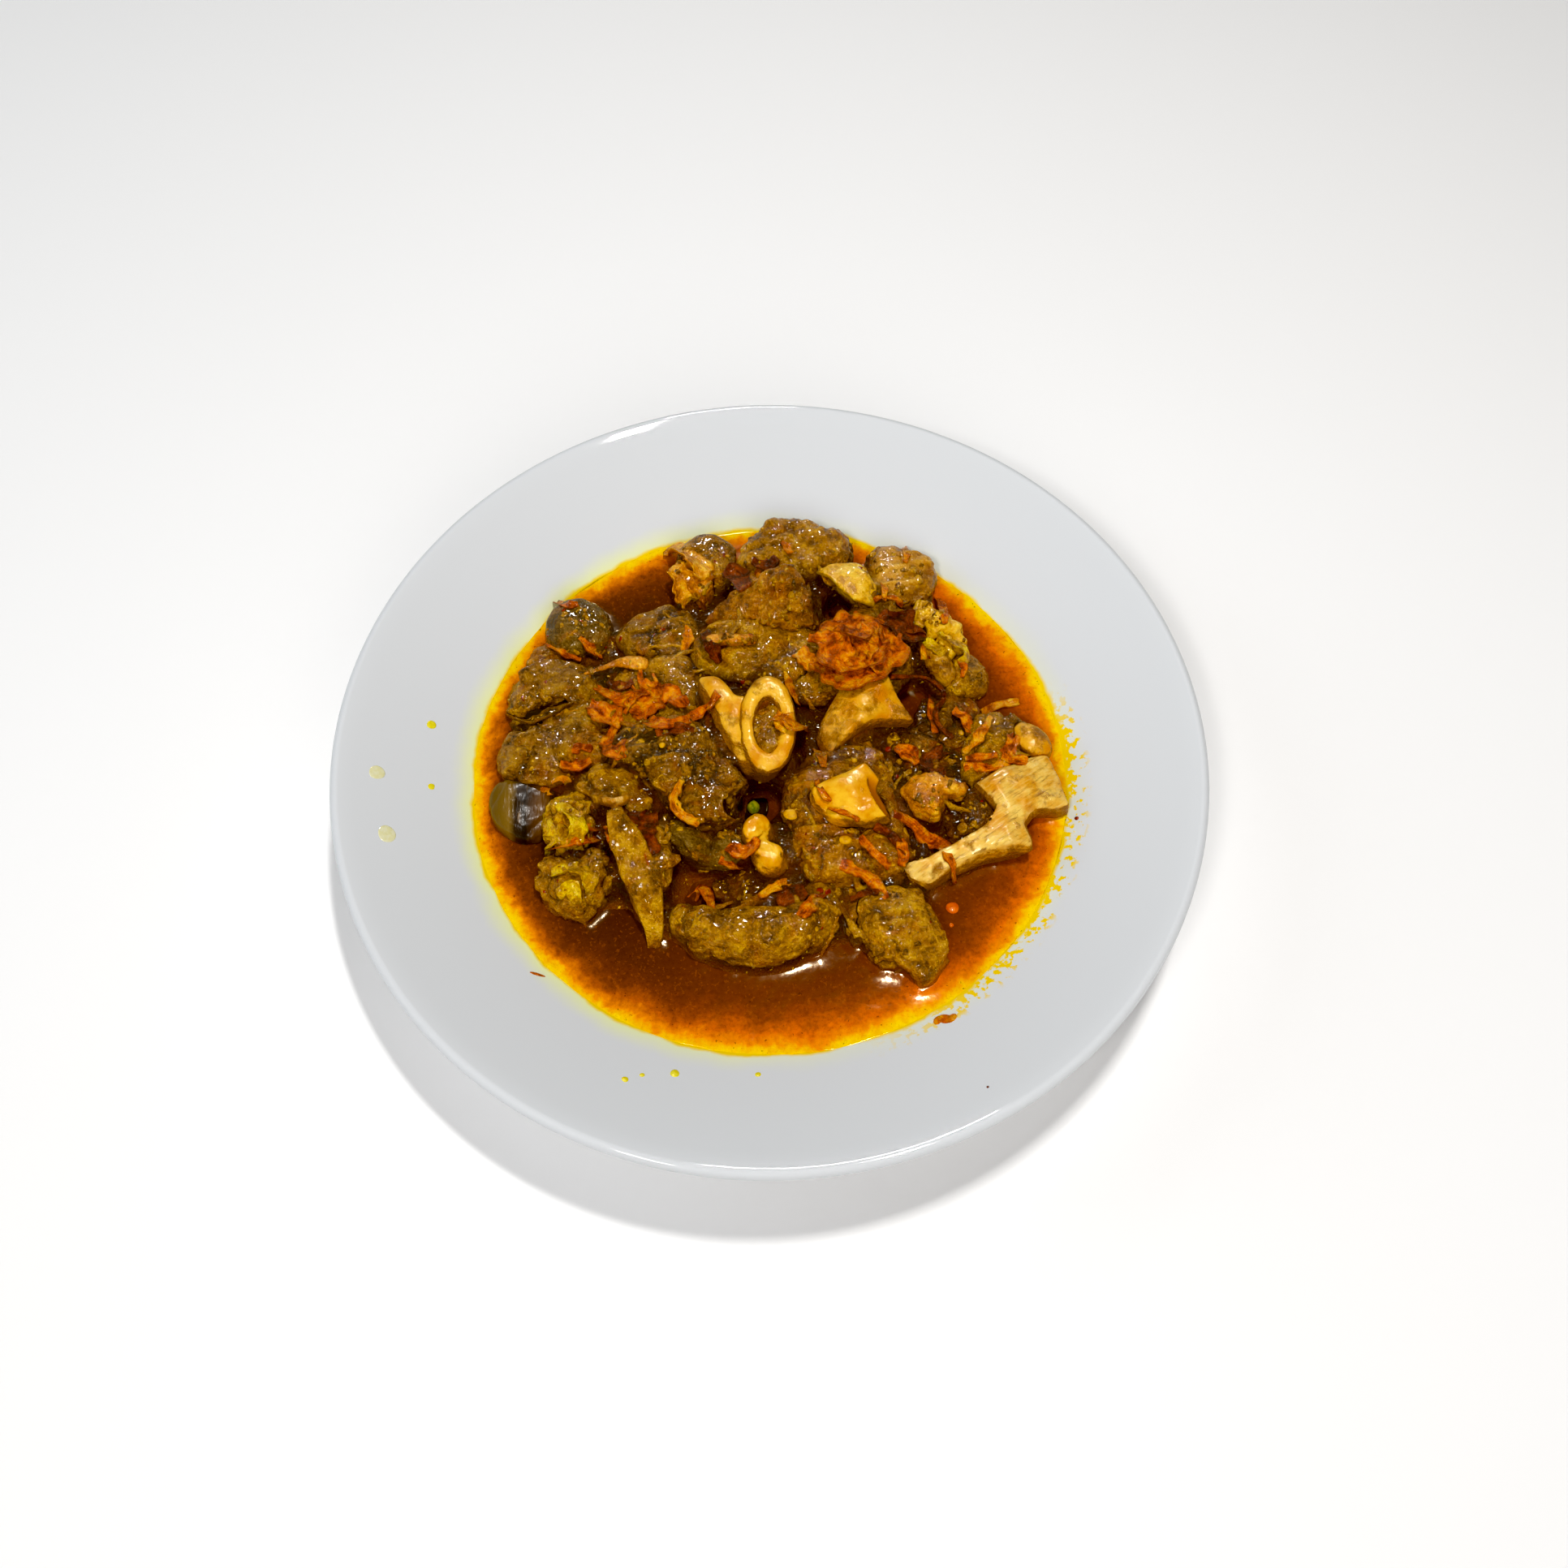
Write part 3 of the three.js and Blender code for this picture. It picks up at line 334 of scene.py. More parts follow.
class Graph:
    """Adds nodes to one tree and links them."""

    def __init__(self, tree: bpy.types.NodeTree) -> None:
        """Takes the tree of a material, of a group or of the world."""
        self.tree = tree

    def node(self, kind: str, inputs: dict | None = None, **settings: object) -> bpy.types.Node:
        """Adds one node.

        Args:
            kind: the node's type.
            inputs: values, or sockets to link, by the input's name or number.
            settings: the node's own settings.

        Returns:
            The new node.
        """
        made = self.tree.nodes.new(kind)
        for name, value in settings.items():
            setattr(made, name, value)
        for name, value in (inputs or {}).items():
            if isinstance(value, bpy.types.NodeSocket):
                self.tree.links.new(value, made.inputs[name])
            elif isinstance(value, tuple) and len(value) == 3 and made.inputs[name].type == "RGBA":
                made.inputs[name].default_value = (*value, 1.0)
            else:
                made.inputs[name].default_value = value
        return made

    def place(self) -> Socket:
        """The place on the object, in metres."""
        return self.node("ShaderNodeTexCoord").outputs["Object"]

    def place_on(self, axis: str) -> Socket:
        """The place along one axis, in metres."""
        return self.node("ShaderNodeSeparateXYZ", {"Vector": self.place()}).outputs[axis]

    def from_axis(self) -> Socket:
        """The distance from the bowl's upright axis, in metres."""
        flat = self.node("ShaderNodeCombineXYZ", {"X": self.place_on("X"), "Y": self.place_on("Y")})
        return self.node("ShaderNodeVectorMath", {0: flat.outputs[0]}, operation="LENGTH").outputs["Value"]

    def stretched(self, stretch: Place = (1.0, 1.0, 1.0), turn: float = 0.0) -> Socket:
        """The place on axes turned about the upright one, with features drawn out along them.

        Args:
            stretch: how much longer features are along each turned axis.
            turn: the turn, in radians.

        Returns:
            The changed place.
        """
        inputs = {"Vector": self.place(), "Rotation": (0.0, 0.0, turn), "Scale": stretch}
        return self.node("ShaderNodeMapping", inputs, vector_type="TEXTURE").outputs["Vector"]

    def sums(self, kind: str, *values: Value, clamp: bool = False) -> Socket:
        """One step of arithmetic, such as DIVIDE or SINE."""
        inputs = dict(enumerate(values))
        return self.node("ShaderNodeMath", inputs, operation=kind, use_clamp=clamp).outputs[0]

    def times(self, first: Value, *others: Value) -> Socket:
        """Multiplies values, from left to right."""
        for other in others:
            first = self.sums("MULTIPLY", first, other)
        return first

    def plus(self, first: Value, *others: Value) -> Socket:
        """Adds values, from left to right."""
        for other in others:
            first = self.sums("ADD", first, other)
        return first

    def centred(self, value: Socket) -> Socket:
        """Moves a value from 0 to 1 down by a half."""
        return self.sums("SUBTRACT", value, 0.5)

    def effect(self, tree: bpy.types.NodeTree, **given: float) -> dict[str, Socket]:
        """Puts a shared effect to use, and hands back its outputs by name."""
        return self.node("ShaderNodeGroup", given, node_tree=tree).outputs

    def noise(self, size: float, place: Socket | None = None, detail: float = 3.0, rough: float = 0.5,
              distortion: float = 0.0) -> Socket:
        """Noise with features of the given size in millimetres, from 0 to 1."""
        inputs = {
            "Vector": place or self.place(), "Scale": 1 / (size * MM), "Detail": detail, "Roughness": rough,
            "Distortion": distortion,
        }
        return self.node("ShaderNodeTexNoise", inputs).outputs["Fac"]

    def step(self, value: Value, low: float, high: float) -> Socket:
        """Runs smoothly from 0 at low to 1 at high."""
        inputs = {"Value": value, "From Min": low, "From Max": high}
        return self.node("ShaderNodeMapRange", inputs, interpolation_type="SMOOTHSTEP").outputs["Result"]

    def patches(self, kind: Patches) -> Socket:
        """Noise cut into patches with soft edges: 1 inside them, and 0 between them."""
        place = self.stretched(turn=kind.turn) if kind.turn else None
        return self.step(self.noise(kind.size, place, kind.detail, kind.rough, kind.distortion),
                         kind.low, kind.high)

    def attribute(self, name: str) -> Socket:
        """A value stored on the mesh."""
        return self.node("ShaderNodeAttribute", attribute_name=name).outputs["Fac"]

    def blend(self, share: Value, low: Socket | Colour, high: Socket | Colour, kind: str = "MIX") -> Socket:
        """Mixes two colours.

        Args:
            share: how much of the second.
            low: the first colour.
            high: the second colour.
            kind: how the two are mixed.

        Returns:
            The mixed colour.
        """
        inputs = {0: share, 6: low, 7: high}
        return self.node("ShaderNodeMix", inputs, data_type="RGBA", blend_type=kind).outputs[2]

    def ramp(self, share: Socket, stops: Sequence[tuple[float, Colour]]) -> Socket:
        """Colours along a scale.

        Args:
            share: where on the scale.
            stops: places on the scale with their colours.

        Returns:
            The colour there.
        """
        made = self.node("ShaderNodeValToRGB", {"Fac": share})
        elements = made.color_ramp.elements
        while len(elements) < len(stops):
            elements.new(0.5)
        for element, (at, colour) in zip(elements, stops):
            element.position = at
            element.color = (*colour, 1.0)
        return made.outputs["Color"]

    def bump(self, height: Socket, depth: float, strength: float = 1.0) -> Socket:
        """Turns a height into a normal.

        Args:
            height: the height, from 0 to 1.
            depth: how deep it is, in millimetres.
            strength: how much of it is felt.

        Returns:
            The new normal.
        """
        inputs = {"Height": height, "Strength": strength, "Distance": depth * MM}
        return self.node("ShaderNodeBump", inputs).outputs["Normal"]


class Effects:
    """Effects that more than one material uses, each a group built once."""

    made: dict[str, bpy.types.NodeTree] = {}
    FINE = Patches(0.8, 0.3, 0.7, 4.0, 0.62)
    COARSE = Patches(2.1, 0.32, 0.68, 3.0, 0.55)
    LIGHT = Patches(1.3, 0.66, 0.72, turn=1.1)
    DARK = Patches(1.7, 0.67, 0.73, 4.0, turn=2.3)
    FILM = Patches(7.0, 0.5, 0.72, 4.0, 0.6, 0.8)
    SOAKED_TO = 2.2
    SOAKED_FROM = -1.0
    WANDER = 2.4

    @classmethod
    def group(cls, name: str, given: str,
              fill: Callable[[Graph, Socket], dict[str, Socket]]) -> bpy.types.NodeTree:
        """Builds a group with one number input, unless it is built already.

        Args:
            name: its name.
            given: its input's name.
            fill: builds what is inside from the input, and returns the outputs by name.

        Returns:
            The group.
        """
        if name not in cls.made:
            tree = bpy.data.node_groups.new(name, "ShaderNodeTree")
            tree.interface.new_socket(name=given, in_out="INPUT", socket_type="NodeSocketFloat")
            graph = Graph(tree)
            results = fill(graph, graph.node("NodeGroupInput").outputs[given])
            for entry in results:
                tree.interface.new_socket(name=entry, in_out="OUTPUT", socket_type="NodeSocketFloat")
            graph.node("NodeGroupOutput", results)
            cls.made[name] = tree
        return cls.made[name]

    @classmethod
    def masala(cls) -> bpy.types.NodeTree:
        """Ground spice: fine wet grains, single bright and dark flecks, and broad patches."""
        def fill(graph: Graph, flecks: Socket) -> dict[str, Socket]:
            """Builds the four outputs."""
            kinds = (cls.FINE, cls.COARSE, cls.LIGHT, cls.DARK)
            fine, coarse, light, dark = [graph.patches(kind) for kind in kinds]
            return {
                "Height": graph.plus(graph.times(fine, 0.5), graph.times(coarse, 0.5)),
                "Light": graph.times(light, flecks),
                "Dark": graph.times(dark, flecks),
                "Patch": graph.noise(9.0, detail=4.0, rough=0.6, distortion=0.4),
            }

        return cls.group("masala", "Flecks", fill)

    @classmethod
    def soaking(cls) -> bpy.types.NodeTree:
        """Oil: how far a place is soaked from below, and patches of red oil film."""
        def fill(graph: Graph, film: Socket) -> dict[str, Socket]:
            """Builds the two outputs."""
            wander = graph.times(graph.noise(5.0), cls.WANDER * MM)
            level = graph.sums("SUBTRACT", graph.place_on("Z"), wander)
            patches = graph.patches(cls.FILM)
            return {
                "Soaked": graph.step(level, (GRAVY_TOP + cls.SOAKED_TO) * MM,
                                     (GRAVY_TOP + cls.SOAKED_FROM) * MM),
                "Film": graph.times(patches, film),
            }

        return cls.group("soaking", "Film", fill)


Inputs = dict[str, Value | Sequence[float]]


class Finish:
    """What every finish shares: one material, made when it is first asked for."""

    name: str
    _materials: dict[str, bpy.types.Material] = {}

    def material(self) -> bpy.types.Material:
        """The finish's material."""
        if self.name not in self._materials:
            made = bpy.data.materials.new(self.name)
            made.use_nodes = True
            made.node_tree.nodes.clear()
            graph = Graph(made.node_tree)
            shader = graph.node("ShaderNodeBsdfPrincipled", self.inputs(graph))
            graph.node("ShaderNodeOutputMaterial", {"Surface": shader.outputs["BSDF"]})
            self._materials[self.name] = made
        return self._materials[self.name]

    def inputs(self, graph: Graph) -> Inputs:
        """Builds the finish's colours and normals, and says what goes into the shader's inputs."""
        raise NotImplementedError

    def put_on(self, piece: bpy.types.Object) -> None:
        """Gives a piece this finish alone."""
        piece.data.materials.clear()
        piece.data.materials.append(self.material())


WARM = (1.0, 0.78, 0.42)
WHITE = (1.0, 1.0, 1.0)


def wet(level: float, coat: float, coat_dull: float, tint: Colour = WARM) -> Inputs:
    """Inputs for a wet gloss.

    Args:
        level: how much the surface under the film mirrors.
        coat: how much the film on it mirrors.
        coat_dull: how dull the film is.
        tint: the colour of what the surface mirrors.

    Returns:
        The shader's inputs.
    """
    return {
        "Specular IOR Level": level, "Specular Tint": tint, "Coat Weight": coat, "Coat Roughness": coat_dull,
    }


def lit_within(weight: float, radius: Colour, reach_mm: float) -> Inputs:
    """Inputs for light that spreads a little under the surface, further in red than in blue."""
    return {"Subsurface Weight": weight, "Subsurface Radius": radius, "Subsurface Scale": reach_mm * MM}


@dataclass(frozen=True)
class Flesh(Finish):
    """Braised meat, skin or fat under wet masala."""

    name: str
    deep: Colour
    middle: Colour
    light: Colour
    film: float = 0.5
    flecks: float = 0.8
    patchiness: float = 0.5
    dull: float = 0.3
    coat: float = 0.4
    bump_mm: float = 0.75
    film_mm: float = 0.6
    oil: Colour = srgb(186, 92, 3)
    soak: Colour = srgb(150, 80, 2)
    fleck: Colour = srgb(244, 196, 50)
    burnt: Colour = srgb(96, 50, 4)
    grainy: float = 0.55
    shade: float = 0.16
    shaded: float = 0.92
    soaked: float = 0.75
    inner_light: float = 0.0

    def inputs(self, graph: Graph) -> Inputs:
        """Layers the colours: flesh by its relief, darker in creases and pits as painted shade, patches,
        oil, painted shade where it lies deep in the heap, what soaks it, and flecks of spice.
        """
        grain = graph.effect(Effects.masala(), Flecks=self.flecks)
        oil = graph.effect(Effects.soaking(), Film=self.film)
        patch = graph.times(graph.centred(grain["Patch"]), self.patchiness * 2)
        grains = graph.times(graph.centred(grain["Height"]), self.grainy)
        # The relief and the grain height paint creases and pits darker as painted shade, and raised grains
        # lighter; the patches are the masala's own tone.
        tone = graph.plus(graph.attribute("relief"), patch, grains)
        colour = graph.ramp(tone, [(0.15, self.deep), (0.5, self.middle), (0.9, self.light)])
        colour = graph.blend(oil["Film"], colour, self.oil)
        # Painted shade: a dark oily colour where the flesh lies deep in the heap between its neighbours.
        shade = tuple(self.shade * level for level in self.oil)
        colour = graph.blend(graph.times(graph.attribute("sunk"), self.shaded), colour, shade)
        colour = graph.blend(graph.times(oil["Soaked"], self.soaked), colour, self.soak)
        colour = graph.blend(grain["Light"], colour, self.fleck)
        colour = graph.blend(grain["Dark"], colour, self.burnt)
        return {
            "Base Color": colour,
            "Roughness": graph.plus(graph.times(grain["Patch"], 0.24), self.dull - 0.16),
            "Normal": graph.bump(grain["Height"], self.bump_mm),
            "Coat Normal": graph.bump(graph.noise(2.2, detail=1.0, rough=0.4), self.film_mm),
            **wet(0.7, self.coat, 0.04),
            **(lit_within(self.inner_light, (1.0, 0.5, 0.15), 1.2) if self.inner_light else {}),
        }


class Meat(Enum):
    """The looks of the meat, skin and fat in the heap."""

    OLIVE = Flesh("meat_olive", srgb(104, 66, 3), srgb(174, 118, 5), srgb(222, 168, 28), film=0.3)
    SHADED = Flesh("meat_shaded", srgb(70, 41, 2), srgb(148, 98, 5), srgb(192, 141, 26), film=0.35)
    OCHRE = Flesh("meat_ochre", srgb(112, 70, 3), srgb(182, 124, 4), srgb(226, 172, 30), film=0.3)
    BROWN = Flesh("meat_brown", srgb(106, 60, 3), srgb(170, 107, 6), srgb(218, 154, 26), film=0.4)
    GREY = Flesh("meat_grey", srgb(72, 50, 8), srgb(118, 84, 20), srgb(166, 130, 52), film=0.25)
    TAN = Flesh("meat_tan", srgb(136, 86, 5), srgb(184, 128, 12), srgb(210, 160, 52), film=0.2, flecks=0.2,
                bump_mm=0.3)
    # A darker copy of the meat for the pieces in nooks, pits and low places: painted shade.
    DARK = Flesh("meat_dark_painted_shade", srgb(56, 29, 2), srgb(110, 64, 3), srgb(164, 110, 14))
    MASH = Flesh("meat_mash", srgb(112, 60, 3), srgb(176, 108, 5), srgb(228, 158, 22), film=0.4, bump_mm=1.1)
    GREEN = Flesh("meat_green", srgb(116, 74, 2), srgb(178, 124, 3), srgb(226, 172, 18), film=0.25)
    FAT = Flesh("fat_yellow", srgb(150, 100, 2), srgb(212, 158, 3), srgb(255, 218, 30), film=0.1, flecks=0.3,
                inner_light=0.15)
    LEAF = Flesh("fat_leaf_yellow", srgb(176, 120, 4), srgb(226, 172, 14), srgb(244, 206, 70), film=0.1,
                 flecks=0.2, bump_mm=0.3, inner_light=0.1)
    AMBER = Flesh("gristle_amber", srgb(160, 92, 3), srgb(218, 142, 6), srgb(250, 196, 50), film=0.25,
                  flecks=0.4, bump_mm=0.4, inner_light=0.25)
    MARROW = Flesh("marrow_brown", srgb(106, 66, 5), srgb(156, 104, 10), srgb(200, 148, 36), film=0.25)
    # Painted shade: the masala between the pieces is near-black for the shade in the gaps.
    BED = Flesh("masala_bed_painted_shade", srgb(24, 10, 1), srgb(74, 38, 2), srgb(138, 84, 6), film=0.4, bump_mm=0.8,
                flecks=1.0, coat=0.3)


@dataclass(frozen=True)
class Skin(Finish):
    """A slip of skin, banded across."""

    name: str
    left: float
    right: float
    bands: tuple[tuple[float, Colour], ...]
    streak: Colour = srgb(112, 78, 24)

    def inputs(self, graph: Graph) -> Inputs:
        """Runs the bands across the piece, wavering, under a wet coat."""
        waver = graph.times(graph.centred(graph.noise(6.0)), 2.4 * MM)
        share = graph.step(graph.plus(graph.place_on("X"), waver), self.left * MM, self.right * MM)
        streaks = graph.noise(1.2, graph.stretched((1.0, 5.0, 2.0)), detail=4.0)
        colour = graph.ramp(share, self.bands)
        normal = graph.bump(streaks, 0.3)
        return {
            "Base Color": graph.blend(graph.step(streaks, 0.55, 0.8), colour, self.streak),
            "Roughness": 0.35, "Normal": normal, "Coat Normal": normal, **wet(0.3, 0.15, 0.15, WHITE),
        }


class Skins(Enum):
    """The looks of skin."""

    GREY = Skin(
        "skin_grey", -78.0, -60.0,
        ((0.0, srgb(106, 80, 14)), (0.25, srgb(128, 98, 30)), (0.4, srgb(52, 32, 12)),
         (0.62, srgb(34, 22, 14)), (0.8, srgb(84, 52, 16)), (1.0, srgb(118, 78, 16))),
    )


@dataclass(frozen=True)
class Bone(Finish):
    """Boiled bone, stained by the oil."""

    name: str
    pale: Colour
    gold: Colour
    stain: Colour
    stained: float = 0.5
    covered: float = 0.5
    side_shade_gold: float = 0.7
    side_cover: float = 0.1
    masala: Colour = srgb(176, 112, 6)
    # Painted shade inside the stub's opening.
    inside: Colour = srgb(168, 98, 4)
    oil: Colour = srgb(196, 96, 4)
    soak: Colour = srgb(170, 92, 6)
    dark_fibre: Colour = srgb(148, 104, 42)
    light_fibre: Colour = srgb(232, 200, 122)
    fibre_turn: float | None = None
    stains: Patches = Patches(4.5, 0.52, 0.74, 5.0, 0.65, 0.6)
    pores: Patches = Patches(0.9, 0.7, 0.78, 2.0)
    sunk_shade: float = 0.7
    pore_stain: float = 0.5
    film: float = 0.25
    daub: float = 0.9
    fine_height: float = 0.3
    daub_height: float = 1.6

    def inputs(self, graph: Graph) -> Inputs:
        """Clouds of gold over the pale bone, stains and pores, fibres where it has them, and painted shade
        deep in the heap, on its sides and inside its opening.
        """
        clouds = graph.noise(7.0, detail=4.0, rough=0.6)
        colour = graph.blend(graph.step(clouds, 0.38, 0.66), self.pale, self.gold)
        sunk = graph.attribute("sunk")
        # Painted shade: darker where the bone lies deep in the heap.
        colour = graph.blend(graph.times(sunk, self.sunk_shade), colour, self.stain)
        colour = graph.blend(graph.times(graph.patches(self.stains), self.stained), colour, self.stain)
        fine = graph.noise(0.8, detail=4.0)
        if self.fibre_turn is not None:
            fine = graph.noise(0.9, graph.stretched((7.0, 1.0, 1.4), self.fibre_turn), detail=5.0, rough=0.6)
            colour = graph.blend(graph.step(fine, 0.5, 0.75), colour, self.dark_fibre)
            colour = graph.blend(graph.step(fine, 0.5, 0.25), colour, self.light_fibre)
        colour = graph.blend(graph.times(graph.patches(self.pores), self.pore_stain), colour, self.stain)
        oil = graph.effect(Effects.soaking(), Film=self.film)
        colour = graph.blend(oil["Film"], colour, self.oil)
        colour = graph.blend(oil["Soaked"], colour, self.soak)
        # Painted shade: the sides, which face away from the top, are blended to the darker gold.
        side = graph.step(graph.attribute("upward"), 0.8, 0.35)
        colour = graph.blend(graph.times(side, self.side_shade_gold), colour, self.gold)
        colour, cover, height = self.daubed(graph, colour, sunk, side)
        # Painted shade: the inside of the stub's opening is darker gold.
        colour = graph.blend(graph.attribute("hollow"), colour, self.inside)
        rough = graph.plus(graph.times(fine, self.fine_height), graph.times(height, cover, self.daub_height))
        normal = graph.bump(rough, 0.4)
        return {
            "Base Color": colour, "Roughness": graph.plus(graph.times(clouds, 0.3), 0.2),
            "Normal": normal, "Coat Normal": normal, **wet(0.35, 0.4, 0.12),
            **lit_within(0.06, (1.0, 0.6, 0.25), 1.5),
        }

    def daubed(self, graph: Graph, colour: Socket, sunk: Socket,
               side: Socket) -> tuple[Socket, Socket, Socket]:
        """Daubs masala over the bone, more of it where it is deep in the heap and on its sides.

        Args:
            graph: the material's graph.
            colour: the bone's colour.
            sunk: how deep each place is in the heap.
            side: how far it faces sideways.

        Returns:
            The new colour, where the masala lies, and its height.
        """
        grain = graph.effect(Effects.masala())
        low = graph.plus(graph.times(sunk, 0.25), graph.times(side, self.side_cover))
        start = 0.66 - 0.3 * self.covered
        end = 0.86 - 0.3 * self.covered
        cover = graph.step(graph.plus(graph.noise(6.0, detail=5.0, rough=0.6), low), start, end)
        # Painted shade: the masala is darker in the pits of its grain.
        dabs = graph.blend(grain["Height"], tuple(0.55 * level for level in self.masala), self.masala)
        return graph.blend(graph.times(cover, self.daub), colour, dabs), cover, grain["Height"]


class Bones(Enum):
    """The looks of the bones."""

    GOLDEN = Bone("bone_golden", srgb(222, 166, 40), srgb(204, 134, 6), srgb(150, 88, 3), 0.55, covered=0.7,
                  side_cover=0.12)
    RING = Bone("bone_ring", srgb(232, 180, 54), srgb(212, 142, 8), srgb(156, 92, 4), 0.4, covered=0.42,
                side_cover=0.3)
    CREAM = Bone("bone_cream", srgb(238, 188, 50), srgb(220, 148, 4), srgb(186, 104, 4), 0.45, covered=0.38,
                 side_cover=0.2)
    FIBROUS = Bone("bone_fibrous", srgb(236, 200, 104), srgb(214, 150, 22), srgb(156, 90, 6), 0.4,
                   covered=0.38, side_cover=0.2, fibre_turn=math.radians(35))
    RIB = Bone("bone_rib_brown", srgb(206, 150, 24), srgb(176, 118, 6), srgb(124, 76, 3), 0.55, covered=0.75,
               fibre_turn=math.radians(-67))


@dataclass(frozen=True)
class Fried(Finish):
    """Fried onion, thin enough for light to come through, and darker along its edges."""

    name: str
    thin: Colour
    body: Colour
    burnt: Colour
    through: float = 0.25
    veins: float = 15.0
    vein_waver: float = 7.0
    vein_tone: float = 0.025
    vein_height: float = 0.06
    crinkles: Patches = Patches(0.8, 0.3, 0.7, 4.0, 0.65)
    edge_burnt: float = 0.6
    edge_uneven: float = 0.8

    def inputs(self, graph: Graph) -> Inputs:
        """Veins along the shred, burnt edges and tips, and a gloss of oil."""
        across = graph.attribute("across")
        waves = graph.times(across, self.veins)
        waver = graph.times(graph.noise(3.0), self.vein_waver)
        veins = graph.sums("SINE", graph.plus(waves, waver))
        clouds = graph.noise(3.2, detail=5.0, rough=0.6, distortion=0.4)
        tone = graph.plus(clouds, graph.times(veins, self.vein_tone))
        colour = graph.ramp(tone, [(0.36, self.burnt), (0.5, self.body), (0.62, self.thin)])
        uneven = graph.times(graph.centred(clouds), self.edge_uneven)
        edge = graph.step(graph.plus(graph.sums("ABSOLUTE", across), uneven), 0.7, 1.05)
        crinkle = graph.patches(self.crinkles)
        normal = graph.bump(graph.plus(graph.times(veins, self.vein_height), crinkle), 0.4)
        return {
            "Base Color": graph.blend(graph.times(edge, self.edge_burnt), colour, self.burnt),
            "Roughness": graph.plus(graph.times(crinkle, 0.3), 0.18),
            "Normal": normal, "Coat Normal": normal, **wet(0.35, 0.6, 0.08),
            **lit_within(self.through, (1.0, 0.5, 0.12), 1.0),
        }


class Onion(Enum):
    """The looks of the fried onion."""

    CRISP = Fried("onion_crisp", srgb(252, 168, 30), srgb(224, 114, 8), srgb(134, 52, 2))
    GOLDEN = Fried("onion_golden", srgb(255, 190, 44), srgb(236, 144, 10), srgb(170, 82, 3))
    DARK = Fried("onion_dark", srgb(170, 82, 10), srgb(122, 50, 5), srgb(58, 20, 3), through=0.2)


@dataclass(frozen=True)
class Glaze(Finish):
    """White glaze, with the oil's yellow stain where the gravy touched it."""

    name: str = "glaze_white"
    white: Colour = srgb(212, 215, 218)
    stain: Colour = srgb(234, 200, 0)
    film_and_reflection_halo: Colour = srgb(232, 238, 150)
    edge_mm: float = 83.6
    halo_mm: float = 7.0
    smear_from: float = 84.5
    smear_to: float = 91.0

    def inputs(self, graph: Graph) -> Inputs:
        """Rings of stain by the distance from the middle, broken by noise, a pale halo beyond them that is
        partly oil film and partly painted reflection of the gravy, stronger on the left, and smears on the
        right.
        """
        far = graph.from_axis()
        waver = graph.times(graph.centred(graph.noise(14.0, detail=4.0)), 5.0 * MM)
        radius = graph.plus(far, waver)
        above = graph.step(graph.place_on("Z"), (GRAVY_TOP - 2.5) * MM, (GRAVY_TOP - 1) * MM)
        # The halo is partly oil film and partly painted reflection of the gravy in the glaze.
        film_and_reflection_halo = graph.step(radius, (self.edge_mm + self.halo_mm) * MM, self.edge_mm * MM)
        leftness = graph.step(graph.place_on("X"), 30 * MM, -60 * MM)
        film_and_reflection_halo = graph.times(film_and_reflection_halo, above, graph.plus(graph.times(leftness, 0.5), 0.2))
        colour = graph.blend(film_and_reflection_halo, self.white, self.film_and_reflection_halo)
        stain = graph.step(radius, (self.edge_mm + 1.6) * MM, (self.edge_mm + 0.3) * MM)
        colour = graph.blend(graph.times(stain, above), colour, self.stain)
        colour = graph.blend(graph.times(self.smears(graph, far), above), colour, self.stain)
        return {"Base Color": colour, "Roughness": 0.5, **wet(0.1, 0.5, 0.035, WHITE)}

    def smears(self, graph: Graph, far: Socket) -> Socket:
        """Where the glaze is smeared: a broken band beyond the gravy's edge, at the front right.

        Args:
            graph: the material's graph.
            far: the distance from the middle.

        Returns:
            1 on a smear, and 0 elsewhere.
        """
        rightness = graph.step(graph.place_on("X"), 22 * MM, 55 * MM)
        front = graph.step(graph.place_on("Y"), 30 * MM, 12 * MM)
        inner = graph.step(far, (self.smear_from - 2) * MM, self.smear_from * MM)
        outer = graph.step(far, self.smear_to * MM, (self.smear_to - 3) * MM)
        denser = graph.times(graph.step(far, 89 * MM, 84 * MM), 0.09)
        broken = graph.step(graph.plus(graph.noise(2.1, detail=3.0, rough=0.55), denser), 0.55, 0.62)
        return graph.times(graph.times(inner, outer), graph.times(rightness, front, broken))


